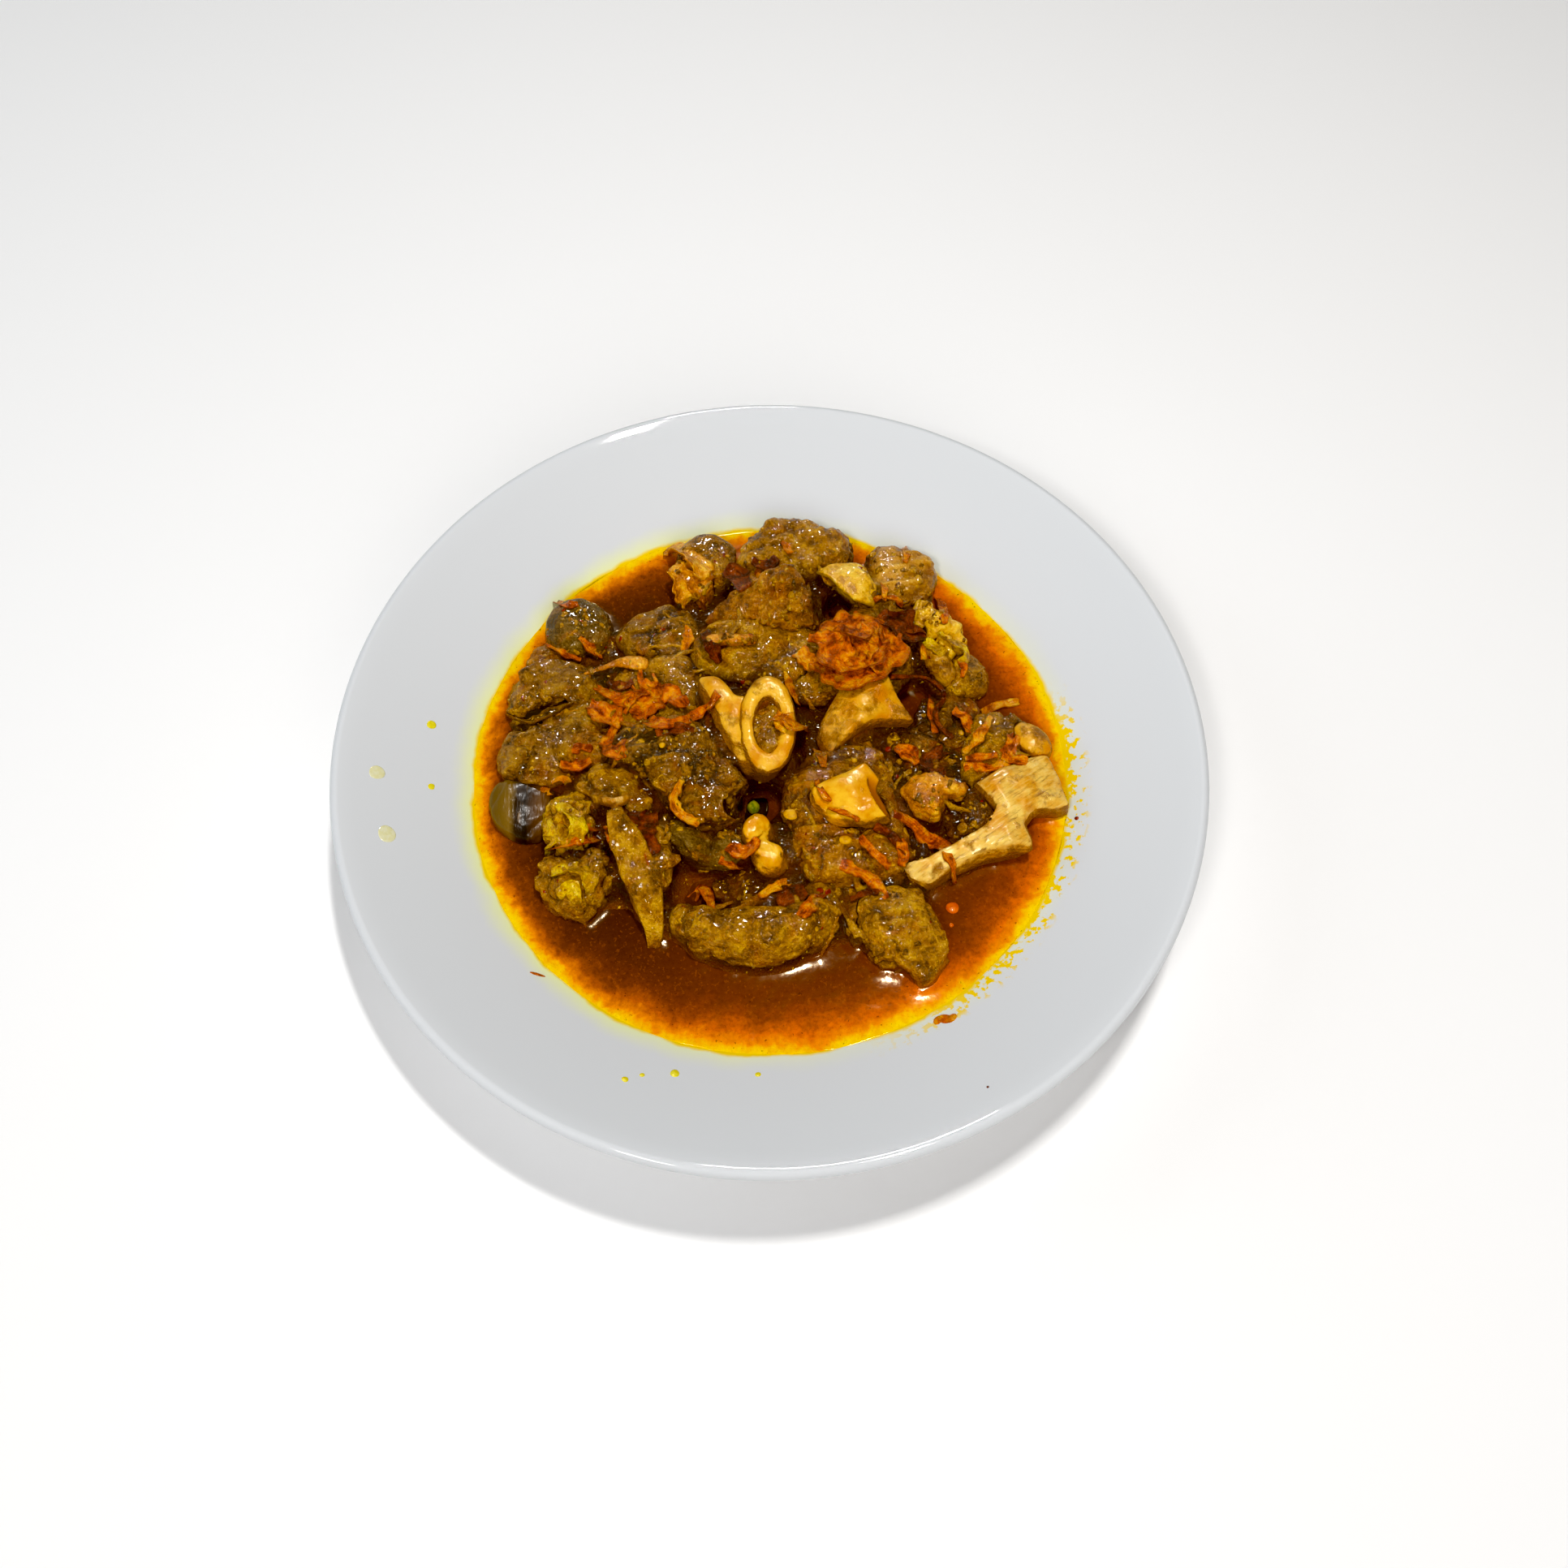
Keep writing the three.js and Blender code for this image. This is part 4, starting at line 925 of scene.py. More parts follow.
@dataclass(frozen=True)
class Oily(Finish):
    """The gravy: brown where it is deep, orange and then yellow where it thins out over the white bowl."""

    name: str = "gravy_oily"
    edge_mm: float = 84.2
    bands: tuple[tuple[float, Colour], ...] = (
        (0.0, srgb(240, 204, 0)), (0.07, srgb(236, 180, 0)), (0.13, srgb(232, 142, 0)),
        (0.24, srgb(218, 112, 0)), (0.42, srgb(158, 78, 1)), (0.65, srgb(124, 62, 1)),
        (1.0, srgb(108, 54, 1)),
    )
    band_mm: float = 24.0
    murk: Colour = srgb(108, 52, 2)
    dark: Colour = srgb(92, 38, 1)
    froth: Colour = srgb(190, 108, 8)
    speck: Colour = srgb(70, 26, 2)
    shadow: Colour = (0.28, 0.38, 0.4)
    wander_mm: float = 11.0
    ripple_mm: float = 3.4
    clouds: Patches = Patches(6.0, 0.35, 0.7, 5.0, 0.65, 0.6)
    cloud_share: float = 0.4
    mottles: Patches = Patches(1.2, 0.4, 0.7, 4.0, 0.7)
    mottle_share: float = 0.4
    mottle_thick: tuple[float, float] = (0.8, 0.2)
    shadow_share: float = 0.75
    froths: Patches = Patches(0.9, 0.58, 0.68, turn=1.9)
    froth_share: float = 0.22
    specks: Patches = Patches(1.0, 0.68, 0.73, turn=0.7)
    speck_share: float = 0.6

    def inputs(self, graph: Graph) -> Inputs:
        """Bands by the distance from the edge, wandering, with drops of oil and specks of spice."""
        wander = graph.centred(graph.noise(11.0, detail=5.0, rough=0.65, distortion=0.5))
        fine = graph.centred(graph.noise(2.2, detail=3.0))
        inward = graph.sums("SUBTRACT", self.edge_mm * MM, graph.from_axis())
        inward = graph.plus(inward, graph.times(wander, self.wander_mm * MM),
                            graph.times(fine, self.ripple_mm * MM))
        depth = graph.sums("DIVIDE", inward, self.band_mm * MM, clamp=True)
        colour = graph.ramp(depth, self.bands)
        thick = graph.step(depth, 0.06, 0.35)
        clouds = graph.times(graph.patches(self.clouds), thick, self.cloud_share)
        colour = graph.blend(clouds, colour, self.murk)
        slope, least = self.mottle_thick
        mottle = graph.times(graph.patches(self.mottles), graph.plus(graph.times(thick, slope), least))
        colour = graph.blend(graph.times(mottle, self.mottle_share), colour, self.dark)
        leftness = graph.step(graph.place_on("X"), 10 * MM, -60 * MM)
        shadow = graph.times(leftness, graph.step(depth, 0.1, 0.3), self.shadow_share)
        colour = graph.blend(shadow, colour, self.shadow, "MULTIPLY")
        colour = graph.blend(graph.times(graph.patches(self.froths), self.froth_share), colour, self.froth)
        colour = graph.blend(graph.times(graph.patches(self.specks), self.speck_share), colour, self.speck)
        return {
            "Base Color": colour, "Normal": graph.bump(graph.noise(2.4, detail=3.0, rough=0.5), 0.07, 0.6),
            "Roughness": 0.12, "Specular IOR Level": 0.4, "Specular Tint": (1.0, 0.85, 0.6),
        }


@dataclass(frozen=True)
class Plain(Finish):
    """A small thing of one wet colour with a little unevenness."""

    name: str
    colour: Colour
    other: Colour
    dull: float = 0.2
    size_mm: float = 1.2
    coat: float = 0.7

    def inputs(self, graph: Graph) -> Inputs:
        """Mixes two near colours."""
        clouds = graph.noise(self.size_mm, detail=3.0)
        return {
            "Base Color": graph.blend(graph.step(clouds, 0.35, 0.65), self.colour, self.other),
            "Roughness": self.dull, "Normal": graph.bump(clouds, 0.1), **wet(0.3, self.coat, 0.05),
        }


class Bit(Enum):
    """The looks of the small things."""

    SEED = Plain("seed_yellow", srgb(212, 160, 4), srgb(182, 124, 2), 0.45, coat=0.1)
    PEPPER = Plain("pepper_green", srgb(112, 124, 14), srgb(172, 164, 30), 0.12)
    OIL_DROP = Plain("oil_drop", srgb(214, 106, 2), srgb(196, 88, 1), 0.3, coat=0.1)
    YELLOW_DROP = Plain("yellow_drop", srgb(226, 216, 60), srgb(220, 202, 30), 0.3, coat=0.1)
    PALE_DROP = Plain("pale_drop", srgb(226, 224, 190), srgb(222, 218, 170), 0.1)
    # Wet oil pools, painted near-black as the shade in a gap and a crease.
    OIL_POOL_IN_SHADE = Plain("oil_pool_painted_shade", srgb(34, 22, 4), srgb(52, 34, 4), 0.04, 4.0)
    GRAIN = Plain("masala_grain", srgb(160, 108, 14), srgb(96, 52, 6), 0.3)
    CHILLI = Plain("chilli_flake", srgb(150, 40, 6), srgb(96, 22, 4), 0.25)


@dataclass(frozen=True)
class BowlShape:
    """The bowl's section in millimetres, on the same driving sizes as its solid."""

    rim_radius: float = 120.0
    rim_top: float = 36.8
    wall: float = 4.4
    floor_top: float = 6.0
    well_arc: float = 60.0
    flare: float = math.radians(27)
    lip_radius: float = 1.8
    foot_inner: float = 44.0
    foot_outer: float = 49.0
    foot_height: float = 2.2

    def lip(self, angle: float) -> tuple[float, float]:
        """A point on the round of the lip."""
        return (
            self.rim_radius - self.lip_radius + self.lip_radius * math.cos(angle),
            self.rim_top - self.lip_radius + self.lip_radius * math.sin(angle),
        )

    def arc_end(self) -> tuple[float, float]:
        """Where the round of the well runs out into the flare."""
        return (
            self.well_radius() + self.well_arc * math.sin(self.flare),
            self.floor_top + self.well_arc * (1 - math.cos(self.flare)),
        )

    def well_radius(self) -> float:
        """The radius of the flat floor of the well."""
        top = self.lip(self.flare + math.pi / 2)
        arc_top = self.floor_top + self.well_arc * (1 - math.cos(self.flare))
        reach = self.well_arc * math.sin(self.flare)
        return top[0] - (top[1] - arc_top) / math.tan(self.flare) - reach

    def arc(self, offset: float, steps: int) -> list[tuple[float, float]]:
        """The round of the well, or of the wall under it.

        Args:
            offset: how far outside the inner face.
            steps: how many steps.

        Returns:
            Points from the floor up.
        """
        radius = self.well_arc + offset
        return [
            (self.well_radius() + radius * math.sin(self.flare * i / steps),
             self.floor_top + self.well_arc - radius * math.cos(self.flare * i / steps))
            for i in range(steps + 1)
        ]

    def height_at(self, radius: float) -> float:
        """The height of the inner face at a radius."""
        end = self.arc_end()
        if radius >= end[0]:
            return end[1] + (radius - end[0]) * math.tan(self.flare)
        away = max(radius - self.well_radius(), 0.0)
        return self.floor_top + self.well_arc - math.sqrt(self.well_arc ** 2 - away ** 2)

    def radius_at(self, height: float) -> float:
        """The radius of the flared inner face at a height."""
        end = self.arc_end()
        return end[0] + (height - end[1]) / math.tan(self.flare)


SHAPE = BowlShape()


def turned(section: Sequence[tuple[float, float]], steps: int, name: str) -> bpy.types.Mesh:
    """Spins a section about the upright axis.

    Args:
        section: radius and height of each point in millimetres, from axis to axis.
        steps: how many steps round.
        name: the mesh's name.

    Returns:
        The closed mesh, facing out.
    """
    bm = bmesh.new()
    verts = [bm.verts.new((radius * MM, 0.0, height * MM)) for radius, height in section]
    edges = [bm.edges.new(pair) for pair in zip(verts, verts[1:])]
    bmesh.ops.spin(bm, geom=verts + edges, cent=(0, 0, 0), axis=(0, 0, 1), angle=math.tau, steps=steps,
                   use_merge=True)
    bmesh.ops.remove_doubles(bm, verts=bm.verts, dist=1e-6)
    bmesh.ops.recalc_face_normals(bm, faces=bm.faces)
    return mesh_of(bm, name)


@dataclass
class Bowl:
    """The porcelain bowl."""

    shape: BowlShape = SHAPE
    sides: int = 256
    glaze: Glaze = field(default_factory=Glaze)
    name: str = "bowl_glazed"
    lip_end: float = -0.9
    foot_edge: float = 0.5

    def foot(self) -> list[tuple[float, float]]:
        """The foot ring with its rounded edges, from outside to the axis."""
        outer, inner, top = self.shape.foot_outer, self.shape.foot_inner, self.shape.foot_height
        edge = self.foot_edge
        return [
            (outer + 0.8, top + 0.2), (outer, top - 0.5), (outer - 0.2, edge), (outer - edge, 0.0),
            (inner + edge, 0.0), (inner + 0.1, edge), (inner - 0.4, top - 0.3), (inner - 1.4, top),
            (0.0, top),
        ]

    def build(self) -> bpy.types.Object:
        """Turns the bowl from its section and glazes it."""
        shape = self.shape
        top = shape.flare + math.pi / 2
        start, end = shape.arc_end(), shape.lip(top)
        flare = [tuple(low + (high - low) * i / 12 for low, high in zip(start, end)) for i in range(1, 12)]
        lip = [shape.lip(top + (self.lip_end - top) * i / 10) for i in range(11)]
        section = [
            (0.0, shape.floor_top), *[(shape.well_radius() * i / 4, shape.floor_top) for i in (1, 2, 3)],
            *shape.arc(0.0, 14), *flare, *lip, *reversed(shape.arc(shape.wall, 10)[4:]), *self.foot(),
        ]
        return finished(self.name, turned(section, self.sides, self.name), self.glaze, ["bowl"])


@dataclass(frozen=True)
class Relief:
    """How the surface of a cut is worked, in millimetres."""

    voxel: float = 0.52
    rounds: int = 6
    grow: float = 0.5
    swell: float = 1.1
    swell_size: float = 12.0
    middle: float = 0.6
    middle_size: float = 3.6
    crease: float = 1.2
    crease_size: float = 9.0
    bead: float = 0.2
    bead_size: float = 1.4
    fibre: float = 0.5
    fibre_size: float = 1.6


class Work(Enum):
    """The ways in which the cuts are worked."""

    COATED = Relief()
    COARSE = Relief(swell=1.2, middle=1.0, middle_size=3.6, bead=0.35, bead_size=1.9, fibre=0.2)
    SMOOTH = Relief(rounds=14, swell=0.8, middle=0.25, bead=0.07, crease=0.5, crease_size=12.0, fibre=0.12)
    TORN = Relief(fibre=0.8, fibre_size=2.2, middle=0.45, crease=1.1)
    CHUNK = Relief(rounds=3, swell=0.8, swell_size=14.0, middle=0.38, crease=0.9, fibre=0.8, bead=0.13)
    SLAB = Relief(voxel=0.45, rounds=3, grow=0.3, swell=0.5, swell_size=7.0, middle=0.3, middle_size=3.4,
                  crease=0.4, bead=0.05, fibre=0.25)
    RUFFLED = Relief(rounds=8, swell=0.8, swell_size=6.0, middle=1.1, middle_size=3.0, crease=1.7,
                     crease_size=4.2, bead=0.3, bead_size=1.8, fibre=0.0)
    SHEET = Relief(rounds=9, swell=0.9, middle=0.4, crease=0.8, crease_size=8.0, bead=0.12, fibre=0.3)
    BONY = Relief(voxel=0.45, rounds=4, grow=0.2, swell=0.4, swell_size=7.0, middle=0.15, crease=0.0,
                  bead=0.0, fibre=0.12)
    KNOBBY = Relief(voxel=0.42, rounds=5, grow=0.4, swell=1.6, swell_size=6.5, middle=0.4, crease=0.0,
                    bead=0.0, fibre=0.0)
    RING = Relief(voxel=0.42, rounds=10, grow=0.45, swell=0.45, swell_size=8.0, middle=0.1, crease=0.0,
                  bead=0.0, fibre=0.0)
    GRISTLY = Relief(voxel=0.45, rounds=6, swell=0.5, swell_size=5.0, middle=0.6, middle_size=2.6,
                     crease=0.6, crease_size=5.0, bead=0.06, fibre=0.2)
    MEALY = Relief(swell=0.7, middle=0.8, middle_size=2.6, crease=0.3, bead=0.4, bead_size=1.6, fibre=0.0)


@dataclass(frozen=True)
class Dent:
    """A hollow in a cut: its middle as seen, its size across and along, its depth and the way it goes."""

    seen: tuple[float, float]
    across: float
    along: float
    depth: float
    turn: float
    way: Place

    def felt(self, at: Points) -> Points:
        """How far into the hollow each point lies, from 0 outside to 1 in its middle."""
        flat = at - EYE
        seen = EYE[:2] + flat[:, :2] * ((GRAVY_TOP - EYE[2]) / flat[:, 2])[:, None] - np.array(self.seen)
        long = np.array([math.cos(self.turn), math.sin(self.turn)])
        far = np.hypot(seen @ long / self.along, seen @ np.array([-long[1], long[0]]) / self.across)
        high = eased(at[:, 2], np.percentile(at[:, 2], 30), np.percentile(at[:, 2], 50))
        return eased(1 - far, 0.0, 0.4) * high

    def press(self, at: Points) -> Points:
        """Presses the hollow into a surface.

        Args:
            at: the surface's points.

        Returns:
            The points, moved.
        """
        way = np.array(self.way) / np.linalg.norm(self.way)
        return at + np.outer(self.depth * self.felt(at), way)


@dataclass(frozen=True)
class Cut:
    """One piece of the heap: the node it stands for, how it is worked and how it looks."""

    node: str
    work: Work
    finish: Enum
    seed: int
    along: Place = (1.0, 0.2, 0.0)
    dents: tuple[Dent, ...] = ()

    def build(self) -> bpy.types.Object:
        """Shapes the piece over a copy of its node.

        Returns:
            The finished piece.
        """
        relief = self.work.value
        piece = node_copy(self.node, f"{self.node}_dressed")
        remesh = piece.modifiers.new("skin", "REMESH")
        remesh.mode = "VOXEL"
        remesh.voxel_size = relief.voxel * MM
        rounded = piece.modifiers.new("round", "SMOOTH")
        rounded.factor = 0.5
        rounded.iterations = relief.rounds
        settle(piece)
        self.sculpt(piece.data, relief)
        self.finish.value.put_on(piece)
        return piece

    def sculpt(self, mesh: bpy.types.Mesh, relief: Relief) -> None:
        """Moves each vertex out or in by swells, creases, fibres and beads.

        Args:
            mesh: the rounded mesh.
            relief: how it is worked.
        """
        at = coordinates(mesh)
        out = normals(mesh)
        seed = self.seed * 3.7
        coarse = Grain.fractal(at, relief.swell_size, seed, 2)
        middle = Grain.fractal(at, relief.middle_size, seed + 11, 3)
        push = relief.swell * coarse + relief.middle * middle
        if relief.crease:
            push -= relief.crease * Grain.creases(at, relief.crease_size, seed + 23)
        if relief.bead:
            push += relief.bead * (Grain.beads(at, relief.bead_size, seed + 31) - 0.4)
        if relief.fibre:
            along = np.array(self.along) / np.linalg.norm(self.along)
            squeezed = at - 0.84 * np.outer(at @ along, along)
            bare = eased(Grain.smooth(at, 7.0, seed + 47), -0.5, 0.3)
            push += relief.fibre * bare * Grain.fractal(squeezed, relief.fibre_size, seed + 41, 2)
        shaped = at + out * (relief.grow + push)[:, None]
        # How far into its dents each vertex lies, which the bone's material paints darker as shade.
        hollow = np.zeros(len(at))
        for dent in self.dents:
            hollow = np.maximum(hollow, dent.felt(shaped))
            shaped = dent.press(shaped)
        painted(mesh, "hollow", hollow)
        moved(mesh, shaped)
        # The relief that the material reads is low in creases and pits, which it paints darker as shade.
        spread = max(relief.swell * 0.5 + relief.middle + relief.crease * 0.5, 0.4)
        felt = push - relief.swell * coarse * 0.6
        painted(mesh, "relief", np.clip(0.5 + 0.45 * felt / spread, 0, 1))
        painted(mesh, "upward", normals(mesh)[:, 2])


@dataclass
class Heap:
    """Everything in the bowl that stands out of the gravy."""

    cuts: tuple[Cut, ...]
    step: float = 1.2
    half: float = 88.0
    above: float = 90.0
    sunk_mm: tuple[float, float] = (2.0, 9.0)
    pieces: dict[str, bpy.types.Object] = field(default_factory=dict)
    tree: BVHTree = field(init=False)
    flesh: BVHTree = field(init=False)
    tops: Points = field(init=False)
    crest: Points = field(init=False)

    def build(self) -> None:
        """Shapes every cut, then stores how deep each lies between its neighbours, for the painted shade
        there.
        """
        for cut in self.cuts:
            self.pieces[cut.node] = cut.build()
        self.tree = tree_of(self.pieces.values())
        soft = [cut.node for cut in self.cuts if isinstance(cut.finish.value, Flesh)]
        self.flesh = tree_of([self.pieces[node] for node in soft])
        self.tops = self.heights()
        self.crest = blurred(filtered(self.tops, 3, np.max), 4)
        for cut in self.cuts:
            piece = self.pieces[cut.node]
            self.shade(piece.data)
            hand_over(piece, [cut.node])

    def heights(self) -> Points:
        """Measures how high the heap stands, on a square grid.

        Returns:
            Heights in millimetres, by row and column, at least the gravy's level.
        """
        count = int(2 * self.half / self.step) + 1
        grid = np.full((count, count), GRAVY_TOP)
        down = Vector((0, 0, -1))
        for row in range(count):
            for column in range(count):
                start = Vector((column * self.step - self.half, row * self.step - self.half, self.above))
                hit = self.tree.ray_cast(start * MM, down)[0]
                if hit is not None:
                    grid[row, column] = max(hit.z / MM, GRAVY_TOP)
        return grid

    def sampled(self, grid: Points, at: Points) -> Points:
        """Reads a grid of heights at points, smoothly."""
        last = grid.shape[0] - 1
        column = np.clip((at[:, 0] + self.half) / self.step, 0, last - 0.001)
        row = np.clip((at[:, 1] + self.half) / self.step, 0, last - 0.001)
        i, j = row.astype(int), column.astype(int)
        u, v = row - i, column - j
        low = grid[i, j] * (1 - v) + grid[i, j + 1] * v
        high = grid[i + 1, j] * (1 - v) + grid[i + 1, j + 1] * v
        return low * (1 - u) + high * u

    def shade(self, mesh: bpy.types.Mesh) -> None:
        """Stores how deep each vertex lies below the heap round it, where the materials paint shade."""
        at = coordinates(mesh)
        painted(mesh, "sunk", eased(self.sampled(self.crest, at) - at[:, 2], *self.sunk_mm))


def tree_of(pieces: Sequence[bpy.types.Object]) -> BVHTree:
    """Gathers the faces of several pieces for finding hits.

    Args:
        pieces: mesh objects at the origin.

    Returns:
        A tree over all their faces.
    """
    verts: list = []
    faces: list = []
    for piece in pieces:
        start = len(verts)
        verts.extend(vertex.co for vertex in piece.data.vertices)
        faces.extend([start + index for index in polygon.vertices] for polygon in piece.data.polygons)
    return BVHTree.FromPolygons(verts, faces)


def filtered(grid: Points, reach: int, rule: Callable) -> Points:
    """Replaces each value by the highest or lowest within reach.

    Args:
        grid: the heights.
        reach: how many cells each way.
        rule: numpy's max or min.

    Returns:
        The new heights.
    """
    padded = np.pad(grid, reach, mode="edge")
    rows, columns = grid.shape
    shifts = range(2 * reach + 1)
    across = rule([padded[:, k:k + columns] for k in shifts], axis=0)
    return rule([across[k:k + rows] for k in shifts], axis=0)


def blurred(grid: Points, reach: int) -> Points:
    """Averages each value with those within reach, twice."""
    for _ in range(2):
        grid = filtered(grid, reach, np.mean)
    return grid


@dataclass
class Bed:
    """The thick masala that lies between and under the pieces, and fills the gaps that are looked into; its
    near-black colour is painted shade.
    """

    heap: Heap
    outline: float = 70.0
    narrow: tuple[int, float] = (2, 2.0)
    wide: tuple[int, float] = (4, 5.0)
    cells: int = 190
    hidden: float = 1.4
    floor: float = 14.0
    wells: tuple[tuple[float, float, float, float], ...] = (
        (-4.6, -12.6, 6.0, 9.0), (21.0, 50.0, 4.5, 9.0), (40.6, 22.0, 4.0, 7.0),
    )
    name: str = "masala_between"

    def build(self) -> bpy.types.Object:
        """Lays a bumpy sheet a little below the pieces round it, where it stands over the gravy."""
        low = np.maximum(self.closed(*self.narrow), self.closed(*self.wide))
        bm = bmesh.new()
        bmesh.ops.create_grid(bm, x_segments=self.cells, y_segments=self.cells, size=self.outline * MM)
        mesh = mesh_of(bm, self.name)
        at = coordinates(mesh)
        height = self.heap.sampled(low, at)
        height += 0.6 * Grain.fractal(at, 5.0, 91.0, 3) + 0.5 * (Grain.beads(at, 2.2, 97.0) - 0.5)
        far = np.hypot(at[:, 0], at[:, 1])
        height -= 6 * eased(far, self.outline - 8, self.outline)
        for x, y, reach, deep in self.wells:
            height -= deep * eased(-np.hypot(at[:, 0] - x, at[:, 1] - y), -1.4 * reach, -reach)
        at[:, 2] = np.maximum(height, GRAVY_TOP - self.hidden - 0.1)
        moved(mesh, at)
        bm = bmesh.new()
        bm.from_mesh(mesh)
        sunk = (GRAVY_TOP - self.hidden) * MM
        hidden = [face for face in bm.faces if all(vertex.co.z <= sunk for vertex in face.verts)]
        bmesh.ops.delete(bm, geom=hidden, context="FACES")
        rim = [edge for edge in bm.edges if edge.is_boundary]
        skirt = bmesh.ops.extrude_edge_only(bm, edges=rim)["geom"]
        for vertex in (item for item in skirt if isinstance(item, bmesh.types.BMVert)):
            vertex.co.z = self.floor * MM
        bm.to_mesh(mesh)
        bm.free()
        relief = np.clip(0.5 + 0.4 * Grain.fractal(coordinates(mesh), 4.0, 99.0, 3), 0, 1)
        painted(mesh, "relief", relief)
        self.heap.shade(mesh)
        return finished(self.name, mesh, Meat.BED.value)

    def closed(self, reach: int, drop: float) -> Points:
        """Fills the gaps in the heap up to a width, to a little below their sides.

        Args:
            reach: half the widest gap that is filled, in cells of the heap's grid.
            drop: how far below the sides.

        Returns:
            The heights.
        """
        full = filtered(filtered(self.heap.tops, reach, np.max), reach, np.min)
        return blurred(full, 1) - drop


@dataclass
class Pool:
    """The gravy, up to its level, drawn up a little wherever it touches."""

    heap: Heap
    shape: BowlShape = SHAPE
    sides: int = 360
    ring_mm: float = 0.8
    climb: float = 0.7
    climb_reach: float = 1.5
    wall_climb: float = 0.2
    wall_reach: float = 1.1
    slack: float = 0.3
    side_foot: float = 17.0
    name: str = "gravy_pool"

    def build(self) -> bpy.types.Object:
        """Turns the body of the gravy and raises its surface round the pieces and at the wall."""
        shape = self.shape
        edge = shape.radius_at(GRAVY_TOP + 0.25) + self.slack
        rings = int(edge / self.ring_mm)
        surface = [(edge * i / rings, GRAVY_TOP) for i in range(rings, -1, -1)]
        under = [(radius, height + self.slack) for radius, height in shape.arc(0.0, 8)]
        side = (shape.radius_at(self.side_foot), self.side_foot)
        section = [(0.0, shape.floor_top + self.slack), *under, side, *surface]
        mesh = turned(section, self.sides, self.name)
        at = coordinates(mesh)
        top = at[:, 2] > GRAVY_TOP - 0.01
        drawn_up = np.array([self.rise(point) for point in at[top]])
        far = np.hypot(at[top, 0], at[top, 1])
        wall = self.wall_climb * np.exp((far - edge) / self.wall_reach)
        swell = 0.12 * Grain.fractal(at[top], 14.0, 71.0, 3) + 0.05 * Grain.fractal(at[top], 3.0, 73.0, 2)
        at[top, 2] += np.maximum(drawn_up, wall) + swell
        reach = 1 + 0.006 * Grain.smooth(at[top], 9.0, 75.0) * eased(far, edge - 4, edge)
        at[top, :2] *= reach[:, None]
        moved(mesh, at)
        return finished(self.name, mesh, Oily(), ["gravy"])

    def rise(self, point: Points) -> float:
        """How far the gravy climbs at a point, by its distance to the nearest piece."""
        found = self.heap.tree.find_nearest(Vector(point) * MM, 6 * MM)
        if found[0] is None:
            return 0.0
        return self.climb * math.exp(-found[3] / MM / self.climb_reach)


@dataclass(frozen=True)
class Shred:
    """One shred or flake of fried onion: its route as it is seen, and its make in millimetres."""

    route: tuple[tuple[float, ...], ...]
    width: tuple[float, ...]
    seed: int
    cup: float = 0.25
    wave: float = 0.5
    roll: tuple[float, ...] = (0.0,)
    thickness: float = 0.7
    ragged: float = 0.45
    crinkle: float = 0.45
    sink: float = 0.0


def along_list(values: Sequence[float], share: Points) -> Points:
    """Reads a short list of values at shares from 0 to 1, evenly between its entries."""
    if len(values) == 1:
        return np.full(len(share), values[0])
    return np.interp(share, np.linspace(0, 1, len(values)), values)


def curve_through(points: Points, count: int) -> Points:
    """Runs a smooth curve through points, in even steps.

    Args:
        points: the points, one row each.
        count: how many points to return.

    Returns:
        Points along the curve.
    """
    ends = np.vstack([2 * points[0] - points[1], points, 2 * points[-1] - points[-2]])
    fine = []
    for i in range(1, len(ends) - 2):
        t = np.linspace(0, 1, 16, endpoint=False)[:, None]
        before, here, there, after = ends[i - 1], ends[i], ends[i + 1], ends[i + 2]
        bend = 2 * before - 5 * here + 4 * there - after
        twist = 3 * here - before - 3 * there + after
        fine.append(0.5 * (2 * here + (there - before) * t + bend * t ** 2 + twist * t ** 3))
    line = np.vstack([*fine, points[-1:]])
    length = np.concatenate([[0], np.cumsum(np.linalg.norm(np.diff(line, axis=0), axis=1))])
    even = np.linspace(0, length[-1], count)
    return np.stack([np.interp(even, length, line[:, axis]) for axis in range(line.shape[1])], axis=1)


